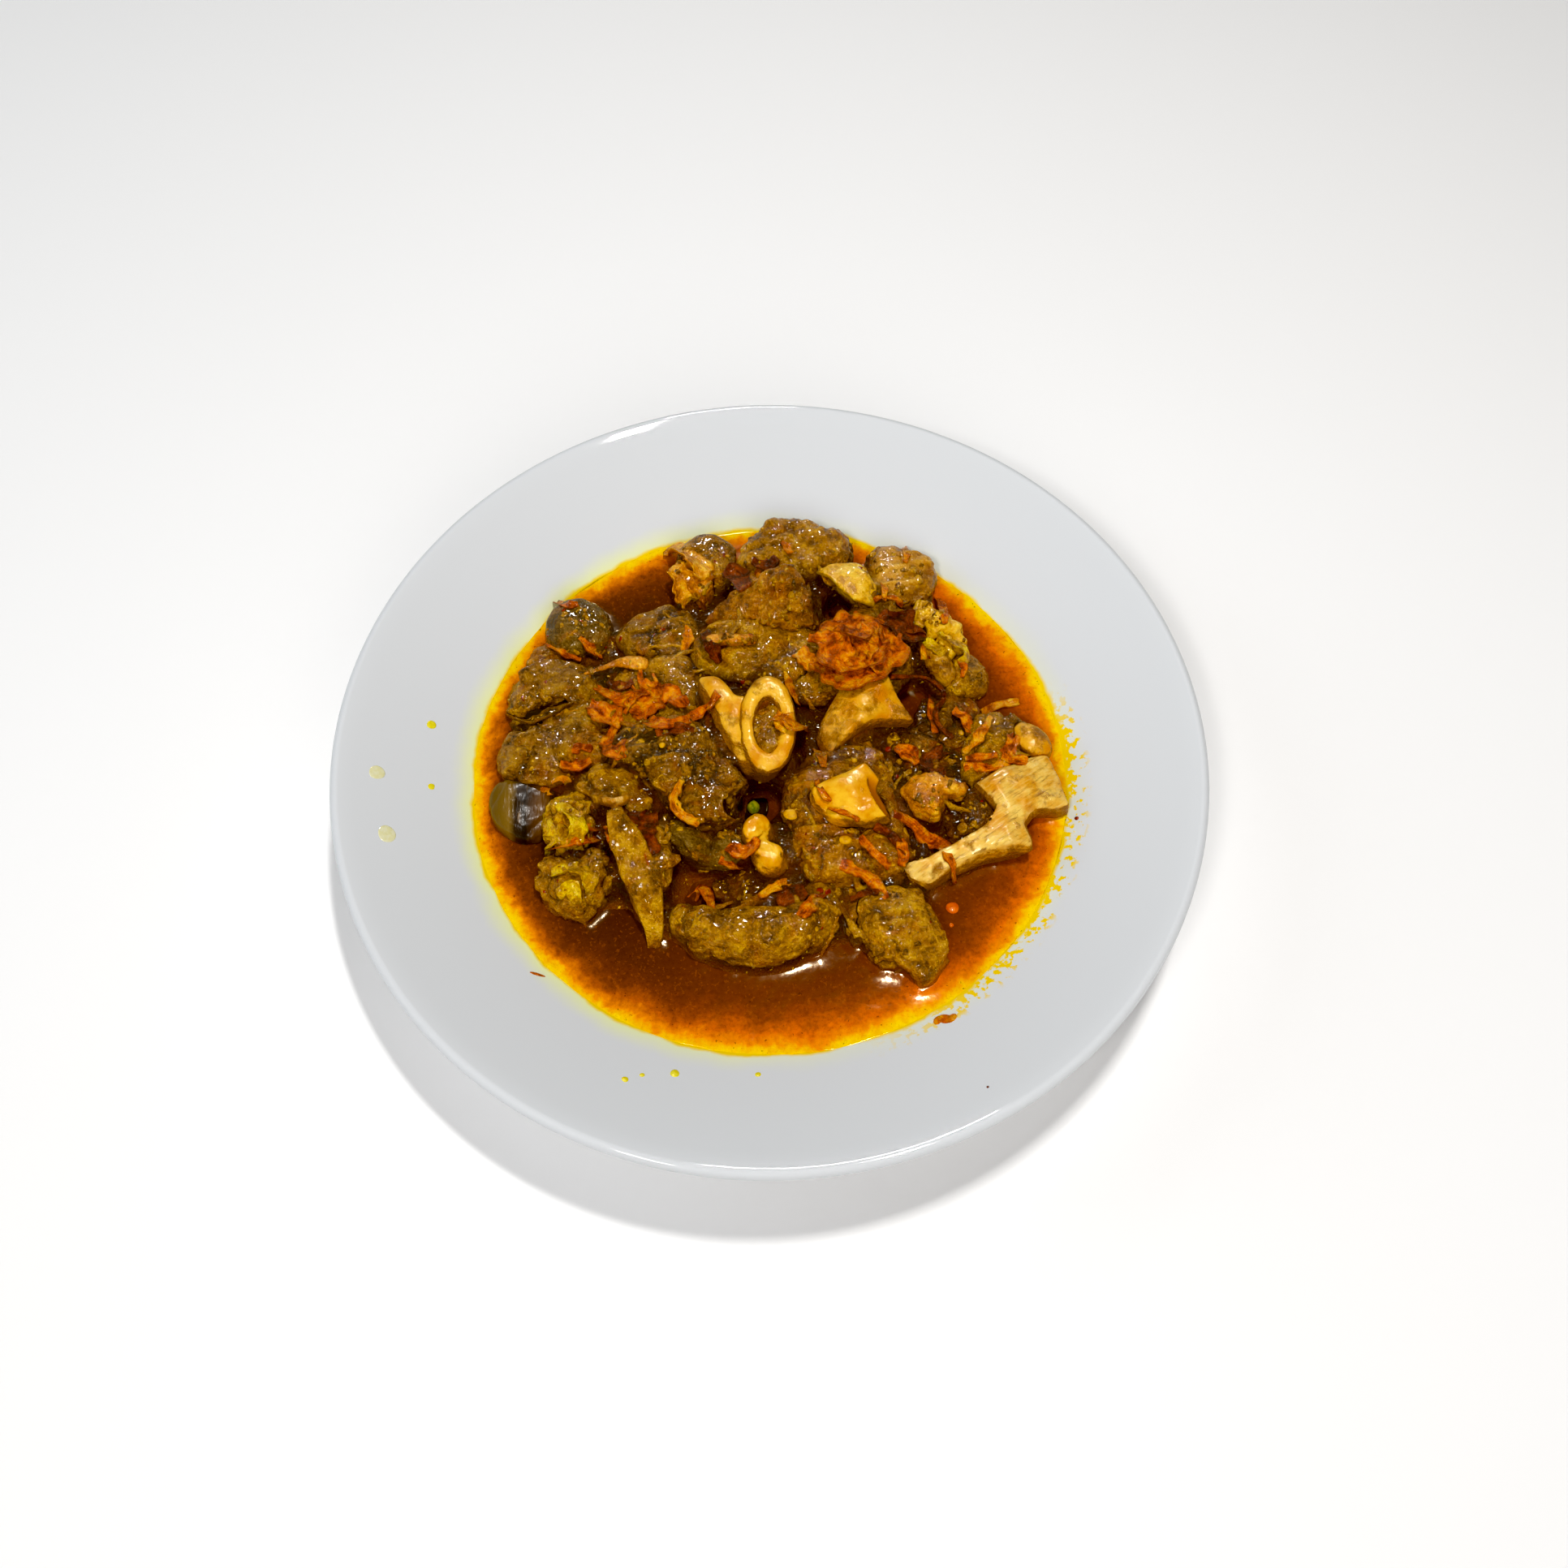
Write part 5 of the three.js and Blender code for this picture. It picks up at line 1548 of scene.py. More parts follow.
@dataclass
class Layer:
    """Lays shreds on the heap where the line of sight meets it."""

    tree: BVHTree
    clearance: float = 0.3
    slack_passes: int = 10
    smooth_passes: int = 3
    fullness: float = 1.2
    spacing: float = 0.9
    sag: float = 0.4
    cell: float = 0.6

    def height(self, x: float, y: float) -> float:
        """The height above the gravy of what is seen at a point of the gravy's plane."""
        aim = np.array([x, y, GRAVY_TOP]) - EYE
        hit = self.tree.ray_cast(Vector(EYE) * MM, Vector(aim).normalized())[0]
        return 0.0 if hit is None else max(hit.z / MM - GRAVY_TOP, 0.0)

    def lay(self, route: Sequence[Sequence[float]], lift: float) -> Points:
        """Lays a route on the heap.

        Args:
            route: points as seen, each with an extra height where it has one.
            lift: how far above the heap it lies.

        Returns:
            Points in millimetres, about one for each millimetre.
        """
        given = np.array([(*point, 0.0)[:3] for point in route], float)
        rough = np.linalg.norm(np.diff(given[:, :2], axis=0), axis=1).sum()
        line = curve_through(given, max(int(rough / self.spacing), 5))
        height = np.array([self.height(x, y) for x, y in line[:, :2]])
        for _ in range(self.slack_passes):
            height[1:-1] = np.maximum(height[1:-1], (height[:-2] + height[2:]) / 2)
        smooth = height.copy()
        for _ in range(self.smooth_passes):
            smooth[1:-1] = (smooth[:-2] + 2 * smooth[1:-1] + smooth[2:]) / 4
        height = np.maximum(smooth, height - self.sag)
        return np.array([placed((x, y, level + lift + extra)) for (x, y, extra), level in zip(line, height)])

    @staticmethod
    def carried(spine: Points, share: Points, roll: Points) -> tuple[Points, Points, Points]:
        """Finds the middle line, the way to the side and the way up, at shares along a route.

        Args:
            spine: the route's points.
            share: how far along, from 0 to 1, for each vertex.
            roll: how far each vertex is rolled about the route, in radians.

        Returns:
            The three, one row for each vertex.
        """
        stops = np.linspace(0, 1, len(spine))
        at = np.stack([np.interp(share, stops, spine[:, axis]) for axis in range(3)], axis=1)
        slope = np.gradient(spine, axis=0)
        slope /= np.linalg.norm(slope, axis=1)[:, None]
        along = np.stack([np.interp(share, stops, slope[:, axis]) for axis in range(3)], axis=1)
        along /= np.linalg.norm(along, axis=1)[:, None]
        side = np.cross(along, [0.0, 0.0, 1.0])
        side /= np.linalg.norm(side, axis=1)[:, None]
        up = np.cross(side, along)
        cosine, sine = np.cos(roll)[:, None], np.sin(roll)[:, None]
        return at, side * cosine + up * sine, up * cosine - side * sine

    def ribbon(self, bm: bmesh.types.BMesh, shred: Shred) -> None:
        """Adds one wavy ribbon to a bmesh.

        Args:
            bm: where it goes.
            shred: its make.
        """
        spine = self.lay(shred.route, self.clearance + shred.thickness / 2 - shred.sink)
        rows = max(len(spine), 6)
        columns = max(int(max(shred.width) / self.cell), 3)
        part = bmesh.new()
        across_layer = part.verts.layers.float.new("across")
        bmesh.ops.create_grid(part, x_segments=rows, y_segments=columns, size=1.0)
        verts = list(part.verts)
        share = np.array([(vertex.co.x + 1) / 2 for vertex in verts])
        across = np.array([vertex.co.y for vertex in verts])
        at, side, up = self.carried(spine, share, along_list(shred.roll, share))
        torn = np.stack([share * 14, np.sign(across) * 3.0, np.zeros(len(share))], axis=1)
        half = self.fullness * along_list(shred.width, share) / 2
        half = half * (1 + shred.ragged * Grain.fractal(torn, 1.0, shred.seed, 3))
        draw = np.random.default_rng(shred.seed)
        phase, beat = draw.uniform(0, math.tau), draw.uniform(2, 4)
        lift = shred.cup * across ** 2 * half
        lift += shred.wave * np.sin(phase + beat * math.pi * share + 1.7 * across)
        flat = np.stack([share * len(spine), across * half, np.full(len(share), shred.seed * 7.0)], axis=1)
        lift += shred.crinkle * Grain.fractal(flat, 2.0, shred.seed + 3, 3)
        points = at + side * (half * across)[:, None] + up * lift[:, None]
        for vertex, point, value in zip(verts, points, across):
            vertex.co = Vector(point) * MM
            vertex[across_layer] = value
        bmesh.ops.solidify(part, geom=part.faces[:], thickness=shred.thickness * MM)
        bmesh.ops.recalc_face_normals(part, faces=part.faces)
        made = mesh_of(part, "shred")
        bm.from_mesh(made)
        bpy.data.meshes.remove(made)


@dataclass(frozen=True)
class Strands:
    """Shreds that make one piece."""

    name: str
    shreds: tuple[Shred, ...]
    finish: Enum
    node: str | None = None
    slot: str = "onion"

    def build(self, layer: Layer) -> bpy.types.Object:
        """Lays the shreds and joins them in one piece."""
        bm = bmesh.new()
        bm.verts.layers.float.new("across")
        for shred in self.shreds:
            layer.ribbon(bm, shred)
        piece = shown(self.name, mesh_of(bm, self.name))
        rounded = piece.modifiers.new("round", "SUBSURF")
        rounded.levels = 1
        rounded.render_levels = 1
        settle(piece)
        at = coordinates(piece.data)
        out = normals(piece.data)
        moved(piece.data, at + out * (0.1 * Grain.fractal(at, 0.9, 5.0, 2))[:, None])
        fine = coordinates(piece.data)
        painted(piece.data, "relief", np.clip(0.55 + 0.35 * Grain.fractal(fine, 3.0, 9.0, 3), 0, 1))
        self.finish.value.put_on(piece)
        hand_over(piece, [self.node] if self.node else [])
        return piece


@dataclass(frozen=True)
class Fibres:
    """Short strands of meat pulled out of the cuts, laid at random and joined in one piece."""

    name: str
    finish: Enum
    count: int
    seed: int
    reach: float = 68.0
    length: tuple[float, float] = (5.0, 14.0)
    width: tuple[float, float] = (1.0, 2.6)
    lowest: float = 2.0

    def build(self, layer: Layer) -> bpy.types.Object:
        """Lays the strands where the lines of sight meet flesh."""
        draw = np.random.default_rng(self.seed)
        bm = bmesh.new()
        bm.verts.layers.float.new("across")
        laid = 0
        while laid < self.count:
            x, y = draw.uniform(-self.reach, self.reach, 2)
            turn, bend = draw.uniform(0, math.tau), draw.normal(0, 0.5)
            if math.hypot(x, y) > self.reach or layer.height(x, y) < self.lowest:
                continue
            half = draw.uniform(*self.length) / 2
            steps = ((-half, turn - bend), (0.0, turn), (half, turn + bend))
            route = tuple((x + far * math.cos(way), y + far * math.sin(way)) for far, way in steps)
            wide = draw.uniform(*self.width)
            layer.ribbon(bm, Shred(route, (wide * 0.4, wide, wide * 0.3), laid + 100 * self.seed, wave=0.1,
                                   cup=-0.5, thickness=0.7, crinkle=0.3, sink=0.5))
            laid += 1
        mesh = mesh_of(bm, self.name)
        painted(mesh, "relief", np.clip(0.6 + 0.3 * Grain.fractal(coordinates(mesh), 2.0, 9.0, 2), 0, 1))
        return finished(self.name, mesh, self.finish.value)


def tuft(middle: tuple[float, float], reach: float, count: int, seed: int, lift: float = 1.0,
         widest: float = 4.5) -> tuple[Shred, ...]:
    """Short curled shreds heaped at random round a place.

    Args:
        middle: the place, as seen.
        reach: how far from it the shreds start.
        count: how many there are.
        seed: sets the draw.
        lift: how far the last ones lie above the first.
        widest: the widest shred.

    Returns:
        The shreds.
    """
    draw = np.random.default_rng(seed)
    made = []
    for number in range(count):
        turn, away = draw.uniform(0, math.tau), reach * math.sqrt(draw.uniform(0, 1))
        x, y = middle[0] + away * math.cos(turn), middle[1] + away * math.sin(turn)
        way, bend, long = draw.uniform(0, math.tau), draw.normal(0, 0.8), draw.uniform(2.5, 5.5)
        up = lift * number / count
        steps = [(far, way + far * bend / long) for far in (-long, 0.0, long)]
        route = tuple((x + far * math.cos(angle), y + far * math.sin(angle), up) for far, angle in steps)
        wide = draw.uniform(0.4, 1.0) * widest
        cup, *roll = draw.uniform(-0.5, 0.5), draw.uniform(-0.9, 0.9), draw.uniform(-0.9, 0.9)
        made.append(Shred(route, (wide * 0.3, wide, wide * 0.35), seed * 50 + number, cup=cup,
                          roll=tuple(roll), crinkle=0.8, ragged=0.5))
    return tuple(made)


CUTS = (
    Cut("bone_marrow_ring", Work.RING, Bones.RING, 1),
    Cut("marrow", Work.MEALY, Meat.MARROW, 2),
    Cut("bone_spurred", Work.BONY, Bones.GOLDEN, 3),
    Cut("bone_stub", Work.BONY, Bones.CREAM, 4, dents=(
        Dent((32.0, -9.0), 2.6, 9.0, 2.4, math.radians(-62), (-0.5, -0.2, -1.0)),)),
    Cut("bone_knuckle", Work.KNOBBY, Bones.CREAM, 58),
    Cut("bone_forked", Work.BONY, Bones.FIBROUS, 6),
    Cut("bone_rib", Work.SLAB, Bones.RIB, 7),
    Cut("bone_tip", Work.BONY, Bones.GOLDEN, 8),
    Cut("skin_flap", Work.SLAB, Meat.AMBER, 9),
    Cut("fat_slab", Work.SLAB, Meat.LEAF, 10),
    Cut("fat_knotted", Work.RUFFLED, Meat.LEAF, 11),
    Cut("fat_ruffled", Work.RUFFLED, Meat.FAT, 12),
    Cut("fat_curled", Work.RUFFLED, Meat.OLIVE, 13),
    Cut("gristle", Work.GRISTLY, Meat.AMBER, 14),
    Cut("tendon_strip", Work.SLAB, Meat.AMBER, 15),
    Cut("tendon_leaf", Work.SLAB, Meat.AMBER, 16),
    Cut("skin_band", Work.SLAB, Meat.TAN, 17),
    Cut("peppercorn", Work.BONY, Bit.PEPPER, 18),
    Cut("meat_centre", Work.CHUNK, Meat.OCHRE, 19),
    Cut("meat_peak", Work.CHUNK, Meat.BROWN, 20, along=(0.5, 0.8, 0.5)),
    Cut("meat_back", Work.COARSE, Meat.OCHRE, 21),
    Cut("meat_back_left", Work.SMOOTH, Meat.OLIVE, 22),
    Cut("meat_shoulder", Work.CHUNK, Meat.TAN, 23),
    Cut("meat_under_onion", Work.COATED, Meat.OLIVE, 24),
    Cut("meat_east", Work.SMOOTH, Meat.OLIVE, 25),
    Cut("meat_east_low", Work.COATED, Meat.DARK, 26),
    Cut("meat_right", Work.COATED, Meat.GREEN, 27),
    Cut("meat_nook", Work.CHUNK, Meat.DARK, 28),
    Cut("meat_inner_right", Work.COATED, Meat.DARK, 29),
    Cut("meat_saddle", Work.CHUNK, Meat.BROWN, 30),
    Cut("meat_west", Work.CHUNK, Meat.SHADED, 31, dents=(
        Dent((-6.5, -10.5), 6.0, 7.0, 4.5, 0.0, (-1.0, -0.1, -0.9)),)),
    Cut("meat_fold", Work.TORN, Meat.GREY, 32, along=(1.0, -0.3, 0.0)),
    Cut("meat_knot", Work.COATED, Meat.BROWN, 33),
    Cut("meat_far_west", Work.COATED, Meat.SHADED, 34),
    Cut("fold_upper", Work.SHEET, Meat.OLIVE, 35),
    Cut("fold_lower", Work.SHEET, Meat.SHADED, 36),
    Cut("skin_far_west", Work.SMOOTH, Skins.GREY, 37),
    Cut("meat_north_west", Work.SMOOTH, Meat.GREY, 38),
    Cut("mash_west", Work.MEALY, Meat.MASH, 39),
    Cut("meat_pale_edged", Work.CHUNK, Meat.SHADED, 40),
    Cut("meat_under_shreds", Work.COATED, Meat.OLIVE, 41),
    Cut("meat_inner_west", Work.COATED, Meat.OLIVE, 42),
    Cut("meat_on_rib", Work.TORN, Meat.OLIVE, 43, along=(0.3, -1.0, 0.0)),
    Cut("meat_wedge", Work.CHUNK, Meat.OCHRE, 44),
    Cut("meat_front_middle", Work.COATED, Meat.OLIVE, 45),
    Cut("meat_pit", Work.COATED, Meat.DARK, 46),
    Cut("meat_crescent", Work.CHUNK, Meat.OCHRE, 47),
)

STRANDS = (
    Strands("onion_bunch_crisp", (
        Shred(((13, 37, 1), (19, 33, 1.4), (26, 31.5, 1.4), (33, 35, 1)), (4, 9, 9, 5), 1, cup=0.35,
              crinkle=0.8),
        Shred(((15, 46, 1), (22, 49, 1.4), (30, 49, 1.4), (35, 44, 1)), (4, 9, 9, 5), 2, cup=-0.3,
              crinkle=0.8),
        Shred(((34, 47, 1.6), (35.5, 40, 2), (30, 33, 2)), (5, 8, 5), 3, cup=0.4, roll=(0.5,),
              crinkle=0.9),
        Shred(((16, 44, 2), (19, 38, 3), (27, 37, 3), (31, 44, 3)), (5, 9, 9, 6), 4, cup=0.5,
              crinkle=1.0),
        Shred(((17, 41, 1), (24, 43, 3), (31, 40, 3)), (6, 10, 6), 5, cup=-0.4, crinkle=1.1),
        Shred(((20, 47, 2.4), (26, 45, 3.4), (30, 48, 3)), (3, 7, 3), 6, roll=(0.7,), crinkle=0.9),
        Shred(((22, 34, 2), (28, 35, 3), (33, 40, 3)), (3, 6, 3), 7, roll=(-0.5,), crinkle=0.9),
        *tuft((25, 41), 9.5, 16, 7, lift=3.5, widest=6.0),
    ), Onion.CRISP, "onion_bunch"),
    Strands("onion_leaf_dark", (
        Shred(((33, 53, 2), (37, 50, 2.2), (42, 47, 2), (45.5, 45, 1)), (3, 7, 8, 3), 8, cup=0.4,
              wave=0.8),
        Shred(((35, 50, 1), (40, 48, 1), (46, 46, 0.6)), (2, 4, 2), 9, roll=(0.5,)),
    ), Onion.DARK, "onion_leaf"),
    Strands("onion_over_ring_crisp", (
        Shred(((1, 18), (5, 16.8), (9, 14), (12.5, 10), (14.5, 5), (15.5, 0.5)),
              (4, 5.4, 4.2, 3.4, 3, 1.2), 10, roll=(0.2, 0.0, -0.3)),
        Shred(((1.5, 16.5, 0.3), (3.5, 13.5, 0.3), (4.5, 12.5)), (2, 2.6, 1), 11),
    ), Onion.GOLDEN, "onion_over_ring"),
    Strands("onion_shreds_west_crisp", (
        Shred(((-40, 18), (-36, 23), (-34, 29)), (4, 8.5, 3), 12, crinkle=0.7),
        Shred(((-34, 25), (-29, 24.5), (-24, 21.5)), (6, 5.5, 2), 13, crinkle=0.6),
        Shred(((-37, 16.5), (-32, 15.5), (-26, 16), (-20, 19), (-15, 25.5, 1)), (4, 3, 2.2, 2.4, 3), 14),
        Shred(((-53, 21.5), (-48, 18), (-43, 14.5)), (3, 6, 3), 15, cup=0.5),
        Shred(((-46, 10), (-45, 15), (-43.5, 21)), (2.6, 2.2, 1.6), 16),
        Shred(((-52, 28), (-47, 25), (-41, 22), (-37, 19)), (1.6, 2.4, 3, 3), 17),
        *tuft((-34, 22), 8.0, 8, 8, lift=1.5),
    ), Onion.CRISP, "onion_shreds_west"),
    Strands("onion_flake_west_crisp", (
        Shred(((-48.5, 9.5), (-45, 7.5), (-42, 3.5)), (2, 6, 3), 18, crinkle=0.6),
    ), Onion.CRISP, "onion_flake_west"),
    Strands("onion_wire_dark", (
        Shred(((35, 31, 1), (41, 31.2, 2), (46, 30.5, 3), (50, 27, 3), (50.5, 23.5, 2), (48, 20, 1),
               (48.5, 15), (52.5, 10.5)),
              (1.4, 1.2, 1.4, 1.4, 1.6), 19, wave=0.2, ragged=0.15, thickness=0.9, crinkle=0.2),
    ), Onion.DARK, "onion_wire"),
    Strands("onion_double_crisp", (
        Shred(((55, 1), (59, 2.2), (63, 1.4), (66.5, 3), (69, 7), (71.5, 11.5)),
              (3, 3.8, 3.6, 3.4, 3, 1.4), 20, cup=-0.5),
        Shred(((55.5, 3.5, 0.6), (60, 4.4, 0.8), (65, 5)), (1.6, 2.2, 1.4), 21),
        Shred(((66, 4.5), (69.5, 3.5), (73.5, 3)), (2, 3, 2), 22),
    ), Onion.CRISP, "onion_double"),
    Strands("onion_shred_east_golden", (
        Shred(((55.5, 5.5), (60, 11), (64, 17.5)), (1.4, 2.6, 1.4), 23),
        Shred(((61, 19), (66, 21.5), (72.5, 22.5)), (1.6, 2.4, 1.8), 24),
    ), Onion.GOLDEN, "onion_shred_east"),
    Strands("onion_shred_south_dark", (
        Shred(((34.5, -13.5), (39, -16), (43, -20), (47.5, -23), (50.5, -28), (51, -34.5)),
              (1.8, 3, 3.6, 3.4, 3, 1.8), 25, cup=-0.3),
    ), Onion.CRISP, "onion_shred_south"),
    Strands("onion_shred_saddle_dark", (
        Shred(((19.5, -29), (25, -31), (29, -34.5), (32, -39.5)), (2.4, 3.8, 3.6, 1.8), 26, cup=-0.3),
    ), Onion.CRISP, "onion_shred_saddle"),
    Strands("onion_shred_west_dark", (
        Shred(((-61, -24.5), (-55, -22.5), (-50, -21), (-44.5, -21.5)), (1.8, 2.8, 3, 2.4), 27),
        Shred(((-46, -15), (-44, -19.5), (-42, -24.5)), (2.2, 3.4, 3), 28),
        Shred(((-52, -17.5), (-48, -18.5), (-44, -18.5)), (1.2, 1.8, 1.4), 29),
    ), Onion.CRISP, "onion_shred_west"),
    Strands("onion_loose_golden", (
        Shred(((-25, -3), (-27, -9), (-25, -14), (-19.5, -16.5)), (1.6, 2.8, 2.6, 3), 30),
        Shred(((-62, -4), (-59.5, -2.6), (-57, -4), (-57, -7.5)), (1.4, 1.8, 1.8, 1.4), 31),
        Shred(((-65, -6), (-61, -7), (-57, -6.5)), (1.4, 2, 1.4), 32),
        Shred(((-44, -30), (-42.5, -35), (-43.5, -40)), (1.2, 1.6, 1.2), 33),
        Shred(((-3, -39, 0.5), (2, -36), (6, -34.5)), (1.6, 2.6, 1.8), 34),
        Shred(((8, 40), (10.5, 37), (13, 34)), (3.4, 4.6, 3), 35, crinkle=0.7),
        Shred(((4, 33), (6, 27), (9, 19.5)), (1.4, 2, 1.4), 36),
        Shred(((-26, 40), (-24.5, 44), (-25, 49)), (1.8, 3, 1.4), 37),
        Shred(((34, 58, 0.6), (34.5, 62, 1), (34, 65)), (1.2, 1.8, 1.2), 38),
        Shred(((41, 72), (41.5, 75), (41, 78)), (1.4, 2, 1.2), 39),
        Shred(((3, 80), (5, 78), (6, 75.5)), (1.4, 2.4, 1.6), 40),
        Shred(((-8, 64), (-5.5, 66), (-3, 69)), (1.8, 3, 2), 41),
        Shred(((45, 37), (45.5, 41), (46, 44)), (1.4, 1.8, 1.4), 42),
    ), Onion.GOLDEN),
    Strands("onion_loose_crisp", (
        Shred(((-21, -40), (-18.5, -36), (-15.5, -42.5)), (3, 3.2, 2), 43, roll=(0.4,)),
        Shred(((-12, -24), (-8, -26), (-5, -24.5), (-3, -21.5)), (2.4, 3.6, 3.4, 2), 44),
        Shred(((-14, -28), (-10, -29.5), (-5, -29)), (2, 3, 2), 45),
        Shred(((8.5, -45), (11, -42), (14.5, -38)), (3, 3.4, 2), 46),
        Shred(((36, -21.5), (36.8, -25.5), (36, -30)), (2.2, 2.8, 2), 47),
        Shred(((25, -21), (29, -26), (33, -30.5)), (1.6, 2.4, 1.6), 48),
        Shred(((13, -3), (14.5, -7), (17, -10)), (1.2, 1.8, 1.2), 49),
        Shred(((16, -12), (21, -13.5), (25, -16)), (1, 1.4, 1), 50),
        Shred(((36, 8), (40, 5), (42, 2)), (2.4, 4, 2), 51),
        Shred(((-60, 2), (-55, 1), (-51, 3.5)), (2, 2.8, 1.8), 52),
        Shred(((-57, 6), (-54, 7.5), (-51, 6.5)), (1.8, 2.6, 1.6), 53),
        Shred(((29, 57, 0.4), (33, 59.5, 1), (37.5, 58.5, 0.6), (40, 56)), (1.4, 1.8, 1.6, 1.2), 54),
        Shred(((50, 59), (52, 55), (52, 50)), (1.8, 2.6, 1.4), 55),
        Shred(((-65, 58, 0.4), (-62, 56.5, 0.8), (-58, 57, 0.4)), (1.6, 2.4, 1.4), 56),
        Shred(((-57, 45), (-53, 41), (-50, 38)), (1.4, 2.4, 1.6), 57),
        Shred(((-67, 43), (-61, 39.5), (-56, 37)), (1.4, 2.2, 1.6), 58),
        Shred(((55, 38, 0.3), (57, 34), (56, 31)), (1.4, 2, 1.2), 59),
        Shred(((-36, -25, 0.2), (-33, -33), (-31, -37)), (1.4, 2, 1.2), 60),
        Shred(((53, 20), (56, 17), (57.5, 12)), (2, 3, 1.8), 61),
        Shred(((47, 26), (46.5, 19), (47.5, 12)), (1.4, 1.8, 1.6), 62),
        Shred(((69, 12), (68.5, 8), (66, 6)), (1.6, 2.2, 1.6), 63),
    ), Onion.CRISP),
    Strands("onion_loose_dark", (
        Shred(((-40, -14), (-36, -17), (-31, -17)), (3, 7, 4), 64, crinkle=0.7),
        Shred(((-38, -21), (-34, -23), (-31, -26)), (3, 5, 2), 65, crinkle=0.6),
        Shred(((49, -2), (45, 3), (50, 7)), (2.4, 4, 2.6), 66),
        Shred(((-14, 70), (-10, 67), (-8, 62)), (4, 6, 4), 67, crinkle=0.7),
        Shred(((-6, 73), (-1, 71), (2, 74)), (2, 4, 2), 68),
        Shred(((-20, 47), (-17, 40), (-15, 36)), (2, 3.6, 2), 69),
        Shred(((29, -18), (34, -21), (38, -26)), (2, 3, 2), 70),
        Shred(((2, -41, 0.4), (6, -39, 0.4), (10, -37)), (3, 5, 3), 71, crinkle=0.6),
        Shred(((22, -40), (26, -38), (30, -38)), (1.4, 2, 1.4), 72),
        Shred(((-33, 12), (-28, 13.5), (-22, 12.5)), (2, 3.4, 2), 73),
        Shred(((-48, 30), (-44, 27.5), (-40, 29)), (2, 3.6, 2), 74),
    ), Onion.DARK),
)


DRAPES = (
    Strands("fold_of_skin", (
        Shred(((-76, 26), (-69, 30.5), (-60, 31), (-51, 25), (-46, 20)), (5, 10, 12, 9, 4), 301,
              cup=-0.2, wave=0.8, thickness=1.6, ragged=0.12, crinkle=0.8, sink=0.3),
        Shred(((-76, 18), (-70, 16), (-62, 20), (-54, 25)), (2.5, 4, 3.4, 2), 302, roll=(0.7,), wave=0.4,
              thickness=1.4, ragged=0.15, crinkle=0.6, sink=0.0),
        Shred(((-74, 10), (-66, 9.5), (-57, 13.5), (-48, 14)), (4, 11, 11, 5), 303, cup=-0.25, wave=0.8,
              thickness=1.6, ragged=0.12, crinkle=0.9, sink=0.3),
    ), Meat.SHADED, slot="fat"),
    Strands("fat_leaf", (
        Shred(((14.5, 69.5), (19, 69.5, 0.6), (24, 67, 0.8), (28, 62.5, 0.4), (31, 58)),
              (1.4, 6, 8, 7, 2.5), 341, cup=-0.1, wave=0.3, thickness=1.6, ragged=0.12, crinkle=0.4),
    ), Meat.LEAF, slot="fat"),
    Strands("skin_curls", (
        Shred(((-33, 75), (-29, 77.5), (-24, 74), (-20.5, 66)), (2, 5, 6, 3), 311, roll=(0.3, 0.6),
              thickness=1.2, crinkle=0.8),
        Shred(((-29, 70), (-26, 62), (-22, 53)), (5, 8, 3), 312, cup=0.3, thickness=1.2, crinkle=0.9),
    ), Meat.AMBER, slot="fat"),
    Strands("rib_flange", (
        Shred(((-44, -12), (-39, -24), (-34, -36), (-31.5, -47), (-31, -54)), (4, 7.5, 9, 6, 3), 331,
              cup=-0.25, wave=0.2, thickness=2.0, ragged=0.1, crinkle=0.5, sink=0.2),
    ), Meat.OCHRE, slot="meat"),
    Strands("fat_curls", (
        Shred(((50, 47), (53, 43), (57, 41.5), (57.5, 37.5), (54, 36)), (1.6, 2.4, 2.6, 2.4, 1.4), 321,
              roll=(0.6,), thickness=1.1),
        Shred(((46, 44), (49, 41), (52.5, 38)), (2.4, 3.4, 2), 322, thickness=1.2),
        Shred(((-60, -11), (-56, -13), (-53.5, -18), (-55, -24)), (2.6, 4, 4, 2.4), 323, roll=(0.5,),
              thickness=1.4, crinkle=0.9),
        Shred(((-62, -16), (-60.5, -21), (-61, -26)), (2.4, 4, 2.4), 324, roll=(-0.6,), thickness=1.3,
              crinkle=0.9),
        Shred(((-60, -32), (-55, -30.5), (-50, -33), (-49, -38)), (2.6, 4.4, 4, 2.4), 325, roll=(0.5,),
              thickness=1.4, crinkle=0.9),
        Shred(((-58, -38), (-54, -36), (-52, -41)), (2.4, 4, 2.4), 326, roll=(-0.4,), thickness=1.4,
              crinkle=0.9),
    ), Meat.FAT, slot="fat"),
)


